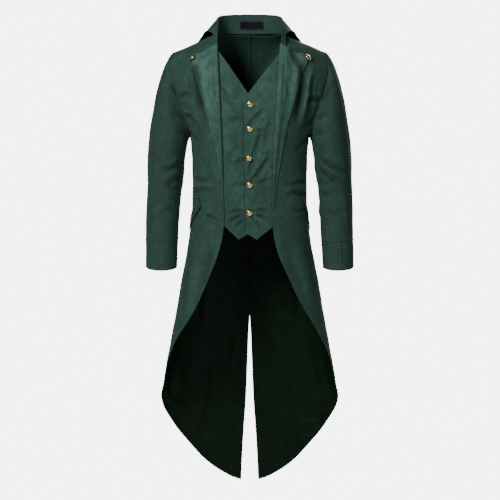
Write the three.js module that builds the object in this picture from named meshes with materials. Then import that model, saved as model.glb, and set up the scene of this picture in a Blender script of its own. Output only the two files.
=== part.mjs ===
// A long green tailcoat with an attached waistcoat front, worn on an unseen figure and hollow inside.
// Millimetres, +Z up. The wearer faces -Y, so +X is the wearer's left.
// The origin is the centre of the neck base, where a wearer's neck and shoulders hold the coat up.
import * as THREE from "three";

// Driving sizes
const CLOTH = 2; // coat, waistcoat, collar and sleeve walls
const LINING = 1;
const SEAM = 0.3; // gap between two pieces that are sewn together
const SQUARENESS = 2.2; // exponent of the body's horizontal sections, 2 is an ellipse

const NECK_POINT = { x: 88, z: 6 }; // where the shoulder seam meets the neck
const SHOULDER_SLOPE = 0.44; // the shoulder seam's fall for each millimetre outward
const NAPE_RISE = 0.18; // the ridge line's rise for each millimetre from the neck point to the centre
const NAPE_DROP = 17; // how far the neck edge lies below the ridge line at the centre back
const RIDGE_Y = 8; // the shoulder seam's place from front to back
const ROLL_FRONT = 95; // height over which the chest rolls over to the shoulder
const ROLL_BACK = 110;
const SHOULDER_WIDTH = 228; // half width of the sections above the shoulder tip

const ARMPIT_Z = -275;
const ARMHOLE = { turn: 64.7, roundness: 4 }; // turn at the shoulder tip; higher is a squarer bottom
const WAIST_EDGE_Z = -520; // where the straight front edge turns into the cutaway
const SIDE_SEAM_TURN = 95;
const SIDE_SEAM_SHIFT = 120; // the length below the armpit over which the side seam moves back to it
const SIDE_SEAM_END_Z = -938; // where the cutaway edge reaches the side seam
const VENT_TOP_Z = -756;
const TAIL_CORNER_Z = -987;

// The body's horizontal sections: half width, depth before and behind the middle
const SECTIONS = [
  { z: 60, half: 228, front: 100, back: 100 },
  { z: -47, half: 228, front: 108, back: 110 },
  { z: -90, half: 237, front: 113, back: 116 },
  { z: -124, half: 231, front: 116, back: 119 },
  { z: -168, half: 215.4, front: 118, back: 121 },
  { z: -198, half: 199.5, front: 118, back: 121 },
  { z: -236, half: 179.4, front: 117, back: 119 },
  { z: -262, half: 168, front: 116, back: 117 },
  { z: -275, half: 162.5, front: 115, back: 116 },
  { z: -300, half: 159, front: 112, back: 112 },
  { z: -374, half: 155.5, front: 104, back: 101 },
  { z: -430, half: 156.5, front: 101, back: 97 },
  { z: -484, half: 159, front: 102, back: 99 },
  { z: -550, half: 165, front: 106, back: 106 },
  { z: -616, half: 176, front: 112, back: 115 },
  { z: -682, half: 189, front: 118, back: 123 },
  { z: -748, half: 200, front: 123, back: 130 },
  { z: -814, half: 212.5, front: 128, back: 136 },
  { z: -880, half: 224, front: 132, back: 141 },
  { z: -946, half: 237, front: 136, back: 145 },
  { z: -990, half: 254, front: 138, back: 148 },
  { z: -1034, half: 262, front: 140, back: 150 },
  { z: -1100, half: 270, front: 142, back: 153 },
  { z: -1220, half: 280, front: 145, back: 157 },
];

// The front edge of each coat front down to the waist, as its distance from the middle
const ROLL_LINE = [
  { z: 10, right: 88, left: 88 },
  { z: -35, right: 90, left: 86 },
  { z: -66, right: 89.5, left: 83.6 },
  { z: -121, right: 86.5, left: 80 },
  { z: -212, right: 81.4, left: 74 },
  { z: -304, right: 76.8, left: 67.4 },
  { z: -373, right: 73.5, left: 65.2 },
  { z: -430, right: 72, left: 64 },
  { z: -520, right: 70, left: 63 },
];

// The cutaway edge below the waist, as the turn round the body from the centre front
const CUTAWAY = [
  { z: -520, right: 24, left: 20.8 },
  { z: -545, right: 24.4, left: 21.6 },
  { z: -569, right: 25.8, left: 22.7 },
  { z: -613, right: 29.3, left: 26.4 },
  { z: -652, right: 34, left: 31.9 },
  { z: -693, right: 39, left: 37.2 },
  { z: -726, right: 43.4, left: 42.7 },
  { z: -775, right: 52.3, left: 53 },
  { z: -833, right: 67.9, left: 66 },
  { z: -885, right: 81, left: 78.5 },
  { z: -924, right: 89, left: 88.5 },
  { z: -938, right: 94, left: 94 },
  { z: -987, right: 109, left: 109 },
];

// The two edges at the foot of a tail: the opened centre vent, and the hem from tip to corner
const VENT_EDGE = [
  { z: VENT_TOP_Z, x: 0.2 },
  { z: -814, x: 4 },
  { z: -880, x: 6.5 },
  { z: -990, x: 11 },
  { z: -1078, x: 17 },
  { z: -1166, x: 22 },
  { z: -1217, x: 24 },
];
const TAIL_HEM = [
  { share: 0, x: 24, z: -1217 },
  { share: 0.1, x: 46, z: -1210 },
  { share: 0.2, x: 76, z: -1194 },
  { share: 0.3, x: 105, z: -1175 },
  { share: 0.4, x: 131, z: -1154 },
  { share: 0.5, x: 156, z: -1129 },
  { share: 0.6, x: 178, z: -1103 },
  { share: 0.7, x: 197, z: -1078 },
  { share: 0.8, x: 214, z: -1050 },
  { share: 0.9, x: 230, z: -1018 },
  { share: 1, x: 240.5, z: TAIL_CORNER_Z },
];

// The outer edge of each lapel, from its buttoned tip down to where it meets the front edge
const LAPEL_EDGE = {
  right: [
    { z: -56, x: 158 },
    { z: -121, x: 146 },
    { z: -228, x: 113.6 },
    { z: -261, x: 105 },
    { z: -338, x: 86 },
    { z: -425, x: 75.5 },
  ],
  left: [
    { z: -56, x: 160 },
    { z: -95, x: 150 },
    { z: -157, x: 128 },
    { z: -239, x: 104 },
    { z: -332, x: 86 },
    { z: -400, x: 75 },
    { z: -500, x: 67 },
  ],
};
const LAPEL_TOP = { z: -29, tipZ: -56, dip: 6 }; // the lapel's top edge, from the roll line to the tip
const ROLL_GAP = 0.4; // how far the lapel's fold lies outside the coat's front edge
// How the lapel stands off the chest: the height of its soft roll, where across the lapel the roll
// starts and how fast it passes, and the share of it that is lost towards the waist
const LAPEL_ROLL = { height: 5, start: 0.25, pace: 1.4, loss: 0.5 };

// The waistcoat: its hem from the hidden outer edge to the overlap, seen on the wearer's right
// and left. Signed distances from the middle, positive towards the wearer's left.
const WAISTCOAT_HEM = {
  right: [
    { x: -122, z: -503 },
    { x: -98, z: -509 },
    { x: -70, z: -521 },
    { x: -50, z: -539 },
    { x: -31, z: -557.4 },
    { x: -18, z: -550 },
    { x: -5.5, z: -543 },
    { x: 7, z: -537 },
    { x: 18, z: -531 },
  ],
  left: [
    { x: 116, z: -503 },
    { x: 90, z: -511 },
    { x: 63, z: -524 },
    { x: 41, z: -541 },
    { x: 20, z: -557.4 },
    { x: 10, z: -552 },
    { x: 0, z: -546.5 },
    { x: -5.5, z: -543.5 },
    { x: -10.5, z: -541 },
  ],
};
const WAISTCOAT_V = {
  right: { topX: -91, topZ: -34, cornerX: 14, cornerZ: -188 },
  left: { topX: 89, topZ: -38, cornerX: -16, cornerZ: -176 },
};
const WAISTCOAT_UNDER_COAT = 52; // how far the waistcoat runs on under the coat front
const WAISTCOAT_SHOULDER = 8; // how much lower its hidden outer edge starts
const WAISTCOAT_STEP = { x: -46, length: 24 }; // where the right front drops behind the left one
const WAISTCOAT_V_SHARE = 0.34; // share of the waistcoat's rows that lie beside the neck opening

// The collar, from the centre back to its front end: the neck seam, the fold at the top of the
// stand, and the outer edge of the leaf
const COLLAR = [
  { share: 0, seam: [0, 63.7, 5], fold: [0, 76, 60], edge: [0, 98, -21] },
  { share: 0.2, seam: [42, 57.2, 5.4], fold: [42, 70, 59], edge: [61, 92, -22] },
  { share: 0.4, seam: [74, 38, 5.8], fold: [76, 46, 55.5], edge: [107, 63, -17] },
  { share: 0.55, seam: [86.5, 14, 6], fold: [87.5, 18, 48], edge: [130, 31, -11] },
  { share: 0.68, seam: [87, -18, 4], fold: [89, -13, 33], edge: [123, 3, -4] },
  { share: 0.78, seam: [87, -41, -2], fold: [89.5, -36, 18], edge: [112, -17, 11] },
  { share: 0.84, seam: [87, -54, -8], fold: [89.5, -50, 6], edge: [99, -41, 2] },
  { share: 1, seam: [88, -79, -28], fold: [90, -77, -21], edge: [99, -75, -26] },
];
const COLLAR_FOLD_RADIUS = { back: 5, front: 2.6 };
const COLLAR_GAP = 0.5; // between the collar's foot and the neck edge of the coat
const COLLAR_STEPS = 22; // from one front end to the other
const STAND_SHARES = [0, 0.35, 0.7];
const FOLD_ANGLES = [0, 45, 90, 135, 180];
const LEAF_SHARES = [0.3, 0.65, 1];

// The sleeve's cross-sections down the arm: middle, width across and depth from front to back
const SLEEVE = [
  { z: -300, x: 219.5, y: 4, width: 95, depth: 150 },
  { z: -345, x: 226, y: 4, width: 94, depth: 140 },
  { z: -396, x: 231.5, y: 2, width: 91, depth: 130 },
  { z: -460, x: 235.5, y: -3, width: 88.5, depth: 119 },
  { z: -528, x: 238.5, y: -12, width: 86, depth: 110 },
  { z: -590, x: 240.5, y: -22, width: 83.5, depth: 103 },
  { z: -643, x: 241.5, y: -31, width: 81.5, depth: 98 },
];
const SLEEVE_SEAMS = { front: 165, back: 255 }; // turns round the arm: 90 is its front, 180 its inside
const SLEEVE_START = 0.6; // how far the sleeve begins outside the armhole's edge
const SLEEVE_START_UNDER = 3; // how many times more it begins outside at the armpit
// How the sleeve's cap leaves the armhole and arrives at the arm, for each millimetre of its fall;
// under is what is added towards the armpit
const CAP_LEAVE = { out: 0.36, outUnder: 0.24, forward: 0.15, down: 0.24, downUnder: 0.5 };
const CAP_ARRIVE = { out: 0.09, down: 1.25 };
const CAP_STEPS = 7;
const ARM_STEPS = 8;
const SLEEVE_SEAM_GAP = 0.2; // in degrees, at each side of a sleeve seam

// A pocket flap, as turns round the body and heights at its four corners
const POCKET_FLAP = {
  frontTurn: { right: 54, left: 62 },
  length: 34, // in degrees of turn
  topZ: -436,
  fall: 66, // how much lower its back end lies
  height: 34,
  frontLean: 4, // how far its front edge leans, in degrees
};

const BUTTON_HEIGHTS = [
  { z: -190, x: 1.6 },
  { z: -257, x: 0.3 },
  { z: -337, x: -2 },
  { z: -410, x: 0 },
  { z: -486, x: -0.5 },
];
const BUTTON_RADIUS = 8;
const LAPEL_BUTTON = { radius: 9, z: -66, inset: 5 };
const NECK_LABEL = { middleX: 6, width: 64, lowZ: 18, highZ: 40, thick: 0.8, gap: 0.8 };

// Soft vertical flutes of the skirt and tails, for each side: turn, top, depth, width in degrees
const FLUTES = [
  { turn: 70, topZ: -640, depth: 3.5, width: 9 },
  { turn: 118, topZ: -620, depth: 5, width: 10 },
  { turn: 146, topZ: -700, depth: -4.5, width: 9 },
  { turn: 166, topZ: -760, depth: 4, width: 7 },
];
const FLUTE_FULL_DROP = 420; // a flute grows to its full depth over this length

const FINISH = {
  cloth: { color: 0x2f5148, roughness: 0.92, metalness: 0 },
  lining: { color: 0x0b2014, roughness: 0.45, metalness: 0 },
  brass: { color: 0xb98d3a, roughness: 0.3, metalness: 1 },
  label: { color: 0x17181f, roughness: 0.8, metalness: 0 },
};

const SIDES = { right: -1, left: 1 };
const RAD = Math.PI / 180;
const mix = (a, b, share) => a + (b - a) * share;
const clamp = (value, low, high) => Math.min(high, Math.max(low, value));

// A smooth curve through one column of a table, with no overshoot between its rows.
function column(rows, by, name) {
  const sorted = [...rows].sort((a, b) => a[by] - b[by]);
  const at = sorted.map((row) => row[by]);
  const value = sorted.map((row) => row[name]);
  const slope = at.slice(1).map((a, i) => (value[i + 1] - value[i]) / (a - at[i]));
  const tangent = value.map((_, i) => {
    const before = slope[Math.max(0, i - 1)];
    const after = slope[Math.min(slope.length - 1, i)];
    return before * after <= 0 ? 0 : (2 * before * after) / (before + after);
  });
  return (place) => {
    const p = clamp(place, at[0], at[at.length - 1]);
    let i = 0;
    while (i < slope.length - 1 && p > at[i + 1]) i += 1;
    const span = at[i + 1] - at[i];
    const t = (p - at[i]) / span;
    const rest = 1 - t;
    return (
      value[i] * (1 + 2 * t) * rest * rest +
      tangent[i] * span * t * rest * rest +
      value[i + 1] * t * t * (3 - 2 * t) -
      tangent[i + 1] * span * t * t * rest
    );
  };
}

const halfAt = column(SECTIONS, "z", "half");
const frontAt = column(SECTIONS, "z", "front");
const backAt = column(SECTIONS, "z", "back");
const ventX = column(VENT_EDGE, "z", "x");

const across = (turn) => Math.abs(Math.sin(turn * RAD)) ** (2 / SQUARENESS);
const along = (turn) => Math.abs(Math.cos(turn * RAD)) ** (2 / SQUARENESS);

// The turn round the body at which a section is x from the middle, on its front half.
const turnForX = (x, z) =>
  (Math.asin(clamp(Math.abs(x) / halfAt(z), 0, 1) ** (SQUARENESS / 2)) / RAD) * Math.sign(x);

// The height of the shoulder ridge above each turn: no cloth of the body reaches higher.
function ridge(turn) {
  const x = SHOULDER_WIDTH * across(turn);
  return x > NECK_POINT.x
    ? NECK_POINT.z - SHOULDER_SLOPE * (x - NECK_POINT.x)
    : NECK_POINT.z + NAPE_RISE * (NECK_POINT.x - x);
}

function flutes(turn, z) {
  return FLUTES.reduce((sum, flute) => {
    const reach = clamp((flute.topZ - z) / FLUTE_FULL_DROP, 0, 1);
    const away = (Math.abs(turn) - flute.turn) / flute.width;
    return sum + flute.depth * reach * Math.exp(-away * away);
  }, 0);
}

// A point of the cloth's outer face: turn in degrees from the centre front, positive towards the
// wearer's left, and drop below the shoulder ridge.
function bodyPoint(turn, drop) {
  const z = ridge(turn) - drop;
  const isFront = Math.cos(turn * RAD) > 0;
  const height = isFront ? ROLL_FRONT : ROLL_BACK;
  const rest = 1 - clamp(drop / height, 0, 1);
  const roll = Math.sqrt(1 - rest * rest);
  const depth = (isFront ? -frontAt(z) : backAt(z)) * along(turn);
  const middle = RIDGE_Y + (isFront ? -SEAM : SEAM);
  const swell = 1 + flutes(turn, z) / halfAt(z);
  return new THREE.Vector3(
    Math.sign(Math.sin(turn * RAD)) * halfAt(z) * across(turn) * swell,
    mix(middle, depth * swell, roll),
    z,
  );
}

// The outward direction of the body's cloth at a point.
function bodyNormal(turn, drop) {
  const step = 0.4;
  const low = bodyPoint(turn, drop + step);
  const high = bodyPoint(turn, Math.max(drop - step, 0));
  const after = bodyPoint(turn + step, drop);
  const before = bodyPoint(turn - step, drop);
  return after.sub(before).cross(high.sub(low)).normalize();
}

const lifted = (turn, drop, lift) =>
  bodyPoint(turn, drop).addScaledVector(bodyNormal(turn, drop), lift);

// The place [turn, drop] of a point given by its turn and height.
const place = (turn, z) => [turn, Math.max(ridge(turn) - z, 0)];
const placeX = (x, z) => place(turnForX(x, z), z);

// A patch between four edges, each a function from 0 to 1 that gives a place.
function patch({ top, bottom, inner, outer }) {
  return (s, t) =>
    [0, 1].map(
      (k) =>
        mix(inner(t)[k], outer(t)[k], s) +
        mix(top(s)[k], bottom(s)[k], t) -
        mix(mix(top(0)[k], top(1)[k], s), mix(bottom(0)[k], bottom(1)[k], s), t),
    );
}

// A closed wall over a grid of outer points and the directions that lead outward from them.
function wallGeometry(points, directions, thick) {
  const rows = points.length;
  const columns = points[0].length;
  const position = [];
  points.forEach((row) => row.forEach((p) => position.push(p.x, p.y, p.z)));
  points.forEach((row, i) =>
    row.forEach((p, j) => {
      const q = p.clone().addScaledVector(directions[i][j], -thick);
      position.push(q.x, q.y, q.z);
    }),
  );
  const outer = (i, j) => i * columns + j;
  const inner = (i, j) => rows * columns + outer(i, j);
  const index = [];
  const quad = (a, b, c, d) => index.push(a, b, c, a, c, d);
  for (let i = 0; i < rows - 1; i += 1)
    for (let j = 0; j < columns - 1; j += 1) {
      quad(outer(i, j), outer(i + 1, j), outer(i + 1, j + 1), outer(i, j + 1));
      quad(inner(i, j), inner(i, j + 1), inner(i + 1, j + 1), inner(i + 1, j));
    }
  for (let i = 0; i < rows - 1; i += 1) {
    quad(outer(i, 0), inner(i, 0), inner(i + 1, 0), outer(i + 1, 0));
    quad(outer(i, columns - 1), outer(i + 1, columns - 1), inner(i + 1, columns - 1), inner(i, columns - 1));
  }
  for (let j = 0; j < columns - 1; j += 1) {
    quad(outer(0, j), outer(0, j + 1), inner(0, j + 1), inner(0, j));
    quad(outer(rows - 1, j), inner(rows - 1, j), inner(rows - 1, j + 1), outer(rows - 1, j + 1));
  }
  const geometry = new THREE.BufferGeometry();
  geometry.setAttribute("position", new THREE.Float32BufferAttribute(position, 3));
  geometry.setIndex(index);
  geometry.computeVertexNormals();
  return geometry;
}

// The directions square to a grid of points, turned to the side that `outward` points to.
function gridNormals(points, outward) {
  const rows = points.length;
  const columns = points[0].length;
  return points.map((row, i) =>
    row.map((p, j) => {
      const down = points[Math.min(i + 1, rows - 1)][j].clone().sub(points[Math.max(i - 1, 0)][j]);
      const over = points[i][Math.min(j + 1, columns - 1)].clone().sub(points[i][Math.max(j - 1, 0)]);
      const normal = down.cross(over).normalize();
      return normal.dot(outward(p, i, j)) < 0 ? normal.negate() : normal;
    }),
  );
}

// The winding follows the directions: a grid whose turn runs the other way has its columns reversed.
function wall(points, directions, thick) {
  const [a, b, c] = [points[0][0], points[1][0], points[0][1]];
  const face = b.clone().sub(a).cross(c.clone().sub(a));
  if (face.dot(directions[0][0]) >= 0) return wallGeometry(points, directions, thick);
  const turned = (grid) => grid.map((row) => [...row].reverse());
  return wallGeometry(turned(points), turned(directions), thick);
}

const group = new THREE.Group();
function add(name, geometry, finish) {
  const mesh = new THREE.Mesh(geometry, new THREE.MeshStandardMaterial(FINISH[finish]));
  mesh.name = name;
  group.add(mesh);
  return mesh;
}

const shares = (count) => Array.from({ length: count + 1 }, (_, i) => i / count);

// A wall on the body's form: where(s, t) gives each place, lift(s, t) how far outside the coat it is.
function bodyWall({ where, lift = () => 0, rows, columns, thick = CLOTH }) {
  const points = [];
  const directions = [];
  for (const t of rows) {
    const places = columns.map((s) => ({ s, at: where(s, t) }));
    points.push(places.map(({ s, at }) => lifted(at[0], at[1], lift(s, t))));
    directions.push(places.map(({ at }) => bodyNormal(at[0], at[1])));
  }
  return wall(points, directions, thick);
}

// Rows and columns of the coat's panels. Pieces that meet have their points at the same stations.
const ARM_STEP = 15; // degrees round the armhole and sleeve between two stations
const ARM_ROWS = 180 / ARM_STEP;
const SIDE_ROWS = 12; // from the armpit to the end of the side seam
const PIT_SHARE = 0.44; // share of a coat panel's rows that lie beside the armhole
const ROW_CROWDING = { front: 1.6, back: 1.3, lapel: 1.3 }; // powers that crowd the rows at the top
const CORNER_SHARE = 0.93; // where the back's side seam ends and its free edge begins
const seamTurn = (z) => (SEAM * 0.83) / halfAt(z) / RAD;

// A place on the armhole: angle 0 at the shoulder tip, 180 at the armpit, down its front or back.
function armholePlace(angle, isBack) {
  const share = (1 - Math.cos(angle * RAD)) / 2;
  const turn = 90 - (90 - ARMHOLE.turn) * Math.sqrt(1 - share ** ARMHOLE.roundness);
  const tipZ = ridge(ARMHOLE.turn);
  const [, drop] = place(turn, mix(tipZ, ARMPIT_Z, share));
  return [isBack ? 180 - turn : turn, share === 0 ? 0 : drop];
}

function sideSeamTurn(z) {
  const share = clamp((ARMPIT_Z - z) / SIDE_SEAM_SHIFT, 0, 1);
  return mix(90, SIDE_SEAM_TURN, share);
}

function frontEdgeTurn(side, z) {
  return z > WAIST_EDGE_Z
    ? turnForX(column(ROLL_LINE, "z", side)(z), z)
    : column(CUTAWAY, "z", side)(z);
}

// Coat fronts, from the roll line and cutaway edge to the armhole and side seam
function coatFront(side) {
  const sign = SIDES[side];
  const neckTurn = turnForX(NECK_POINT.x, NECK_POINT.z);
  const top = (s) => [mix(neckTurn, ARMHOLE.turn, s), 0];
  const inner = (t) => {
    if (t === 0) return top(0);
    const z =
      t < PIT_SHARE
        ? mix(NECK_POINT.z, ARMPIT_Z, (t / PIT_SHARE) ** ROW_CROWDING.front)
        : mix(ARMPIT_Z, SIDE_SEAM_END_Z, (t - PIT_SHARE) / (1 - PIT_SHARE));
    return place(frontEdgeTurn(side, z), z);
  };
  const outer = (t) => {
    if (t <= PIT_SHARE) return armholePlace((180 * t) / PIT_SHARE, false);
    const z = mix(ARMPIT_Z, SIDE_SEAM_END_Z, (t - PIT_SHARE) / (1 - PIT_SHARE));
    return place(sideSeamTurn(z) - seamTurn(z), z);
  };
  const bottom = (s) => place(mix(inner(1)[0], outer(1)[0], s), SIDE_SEAM_END_Z);
  const at = patch({ top, bottom, inner, outer });
  return (s, t) => {
    const [turn, drop] = at(s, t);
    return [sign * turn, drop];
  };
}

// Coat backs, from the centre seam and vent to the armhole, side seam and tail corner
function coatBack(side) {
  const sign = SIDES[side];
  const neckTurn = 180 - turnForX(NECK_POINT.x, NECK_POINT.z);
  const neckShare = 0.3;
  const hemX = column(TAIL_HEM, "share", "x");
  const hemZ = column(TAIL_HEM, "share", "z");
  const top = (s) => {
    const centre = 180 - turnForX(ventX(0), 0);
    if (s > neckShare)
      return [mix(neckTurn, 180 - ARMHOLE.turn, (s - neckShare) / (1 - neckShare)), 0];
    const turn = mix(centre, neckTurn, s / neckShare);
    const x = SHOULDER_WIDTH * across(turn);
    return [turn, NAPE_DROP * (1 - (x / NECK_POINT.x) ** 2)];
  };
  const inner = (t) => {
    if (t === 0) return top(0);
    const napeZ = ridge(180) - NAPE_DROP;
    const z =
      t < PIT_SHARE
        ? mix(napeZ, ARMPIT_Z, (t / PIT_SHARE) ** ROW_CROWDING.back)
        : mix(ARMPIT_Z, TAIL_HEM[0].z, (t - PIT_SHARE) / (1 - PIT_SHARE));
    return place(180 - turnForX(ventX(z), z), z);
  };
  const outer = (t) => {
    if (t <= PIT_SHARE) return armholePlace((180 * t) / PIT_SHARE, true);
    const z =
      t < CORNER_SHARE
        ? mix(ARMPIT_Z, SIDE_SEAM_END_Z, (t - PIT_SHARE) / (CORNER_SHARE - PIT_SHARE))
        : mix(SIDE_SEAM_END_Z, TAIL_CORNER_Z, (t - CORNER_SHARE) / (1 - CORNER_SHARE));
    const seam = sideSeamTurn(z) + seamTurn(z);
    return place(z < SIDE_SEAM_END_Z ? Math.max(seam, frontEdgeTurn(side, z)) : seam, z);
  };
  const bottom = (s) => place(180 - turnForX(hemX(s), hemZ(s)), hemZ(s));
  const at = patch({ top, bottom, inner, outer });
  return (s, t) => {
    const [turn, drop] = at(s, t);
    return [sign * turn, Math.max(drop, 0)];
  };
}

// The lapel, folded back on the coat front
function lapel(side) {
  const sign = SIDES[side];
  const edge = LAPEL_EDGE[side];
  const edgeX = column(edge, "z", "x");
  const rollX = column(ROLL_LINE, "z", side);
  const endZ = edge[edge.length - 1].z;
  const inner = (t) => {
    const z = mix(LAPEL_TOP.z, endZ, t);
    return placeX(rollX(z) + ROLL_GAP, z);
  };
  const outer = (t) => {
    const z = mix(LAPEL_TOP.tipZ, endZ, t);
    return placeX(edgeX(z), z);
  };
  const top = (s) => {
    const z = mix(LAPEL_TOP.z, LAPEL_TOP.tipZ, s) - LAPEL_TOP.dip * Math.sin(Math.PI * s);
    return placeX(mix(rollX(LAPEL_TOP.z) + ROLL_GAP, edgeX(LAPEL_TOP.tipZ), s), z);
  };
  const bottom = (s) => placeX(mix(rollX(endZ) + ROLL_GAP, edgeX(endZ), s), endZ);
  const at = patch({ top, bottom, inner, outer });
  return (s, t) => {
    const [turn, drop] = at(s, t);
    return [sign * turn, drop];
  };
}
function lapelLift(s, t) {
  const across = clamp(s * LAPEL_ROLL.pace + LAPEL_ROLL.start, 0, 1);
  const roll = LAPEL_ROLL.height * Math.sin(Math.PI * across) * (1 - LAPEL_ROLL.loss * t);
  return CLOTH + 3 * SEAM * (1 + (1 - t) ** 3) + roll;
}

// The waistcoat front, from under the coat front to the overlap at the middle
function waistcoat(side) {
  const sign = SIDES[side];
  const hem = WAISTCOAT_HEM[side];
  const v = WAISTCOAT_V[side];
  const rollX = column(ROLL_LINE, "z", side);
  const hiddenX = (z) => sign * (rollX(z) + WAISTCOAT_UNDER_COAT);
  const outerZ = (t) => mix(v.topZ - WAISTCOAT_SHOULDER, hem[0].z, t);
  const outer = (t) => placeX(mix(hiddenX(outerZ(t)), hem[0].x, t ** 4), outerZ(t));
  const inner = (t) => {
    if (t < WAISTCOAT_V_SHARE) {
      const share = t / WAISTCOAT_V_SHARE;
      return placeX(mix(v.topX, v.cornerX, share), mix(v.topZ, v.cornerZ, share));
    }
    const share = (t - WAISTCOAT_V_SHARE) / (1 - WAISTCOAT_V_SHARE);
    const foot = hem[hem.length - 1];
    return placeX(mix(v.cornerX, foot.x, share), mix(v.cornerZ, foot.z, share));
  };
  const top = (s) =>
    placeX(mix(hiddenX(outerZ(0)), v.topX, s), mix(outerZ(0), v.topZ, s));
  const bottom = (s) => {
    const station = Math.round(s * (hem.length - 1));
    return placeX(hem[station].x, hem[station].z);
  };
  return patch({ top, bottom, inner: outer, outer: inner });
}

// How deep each waistcoat front lies under the coat's outer face: the left one overlaps the right.
const UNDER_COAT = CLOTH + 1.3;
function waistcoatLift(side, where) {
  return (s, t) => {
    if (side === "left") return -UNDER_COAT;
    const [turn, drop] = where(s, t);
    const x = bodyPoint(turn, drop).x;
    const step = clamp((x - WAISTCOAT_STEP.x) / WAISTCOAT_STEP.length, 0, 1);
    return -UNDER_COAT - (CLOTH + 2 * SEAM) * step;
  };
}

// A pocket flap on the side of the coat front
function pocketFlap(side) {
  const flap = POCKET_FLAP;
  const from = flap.frontTurn[side];
  return (s, t) => {
    const turn = from + flap.length * s + flap.frontLean * t * (1 - s);
    const z = flap.topZ - flap.fall * s - flap.height * t;
    return place(SIDES[side] * turn, z);
  };
}

// The armhole's edge as a point: angle 0 at the shoulder tip, 90 in front, 180 at the armpit.
function armholePoint(side, angle) {
  const isBack = angle > 180;
  const [turn, drop] = armholePlace(isBack ? 360 - angle : angle, isBack);
  const point = bodyPoint(turn, drop);
  if (drop === 0) point.y = RIDGE_Y;
  return point.setX(point.x * SIDES[side]);
}

const sleeveColumns = Object.fromEntries(
  ["x", "y", "width", "depth"].map((name) => [name, column(SLEEVE, "z", name)]),
);

// A point of the sleeve's cross-section at a height below the cap.
function sleeveRing(side, angle, z) {
  const { x, y, width, depth } = sleeveColumns;
  return new THREE.Vector3(
    SIDES[side] * (x(z) + (width(z) / 2) * Math.cos(angle * RAD)),
    y(z) - (depth(z) / 2) * Math.sin(angle * RAD),
    z,
  );
}

// The sleeve: share 0 to CAP_SHARE is the cap, from the armhole to the first whole ring.
const CAP_SHARE = 0.4;
function sleevePoint(side, angle, share) {
  const sign = SIDES[side];
  const capEnd = SLEEVE[0].z;
  const last = SLEEVE[SLEEVE.length - 1].z;
  if (share >= CAP_SHARE)
    return sleeveRing(side, angle, mix(capEnd, last, (share - CAP_SHARE) / (1 - CAP_SHARE)));
  const start = armholePoint(side, angle);
  const end = sleeveRing(side, angle, capEnd);
  const drop = start.z - end.z;
  const under = Math.sin((angle / 2) * RAD) ** 2;
  const leave = new THREE.Vector3(
    sign * (CAP_LEAVE.out + CAP_LEAVE.outUnder * under ** 3),
    -CAP_LEAVE.forward * Math.sin(angle * RAD),
    -CAP_LEAVE.down - CAP_LEAVE.downUnder * under,
  );
  start.addScaledVector(leave.clone().normalize(), SLEEVE_START * (1 + SLEEVE_START_UNDER * under ** 4));
  const arrive = new THREE.Vector3(sign * CAP_ARRIVE.out, 0, -CAP_ARRIVE.down);
  const t = share / CAP_SHARE;
  const rest = 1 - t;
  return start
    .multiplyScalar((1 + 2 * t) * rest * rest)
    .addScaledVector(leave, drop * t * rest * rest)
    .addScaledVector(end, t * t * (3 - 2 * t))
    .addScaledVector(arrive, -drop * t * t * rest);
}

// The direction that leads outward from the sleeve's cloth at a point.
function sleeveNormal(side, angle, share) {
  const turnStep = 2;
  const step = 0.004;
  const at = (a, v) => sleevePoint(side, (a + 360) % 360, clamp(v, 0, 1));
  const round = at(angle + turnStep, share).sub(at(angle - turnStep, share));
  const down = at(angle, share + step).sub(at(angle, share - step));
  return round.cross(down).multiplyScalar(-SIDES[side]).normalize();
}

function sleevePiece(side, fromAngle, toAngle) {
  const columns = (toAngle - fromAngle) / ARM_STEP;
  const rows = [
    ...shares(CAP_STEPS).map((t) => t * CAP_SHARE),
    ...shares(ARM_STEPS).slice(1).map((t) => mix(CAP_SHARE, 1, t)),
  ];
  const angles = shares(columns).map((s) => mix(fromAngle, toAngle, s));
  angles[0] += SLEEVE_SEAM_GAP;
  angles[columns] -= SLEEVE_SEAM_GAP;
  const grid = (at) => rows.map((t) => angles.map((angle) => at(side, (angle + 360) % 360, t)));
  return wall(grid(sleevePoint), grid(sleeveNormal), CLOTH);
}

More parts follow.
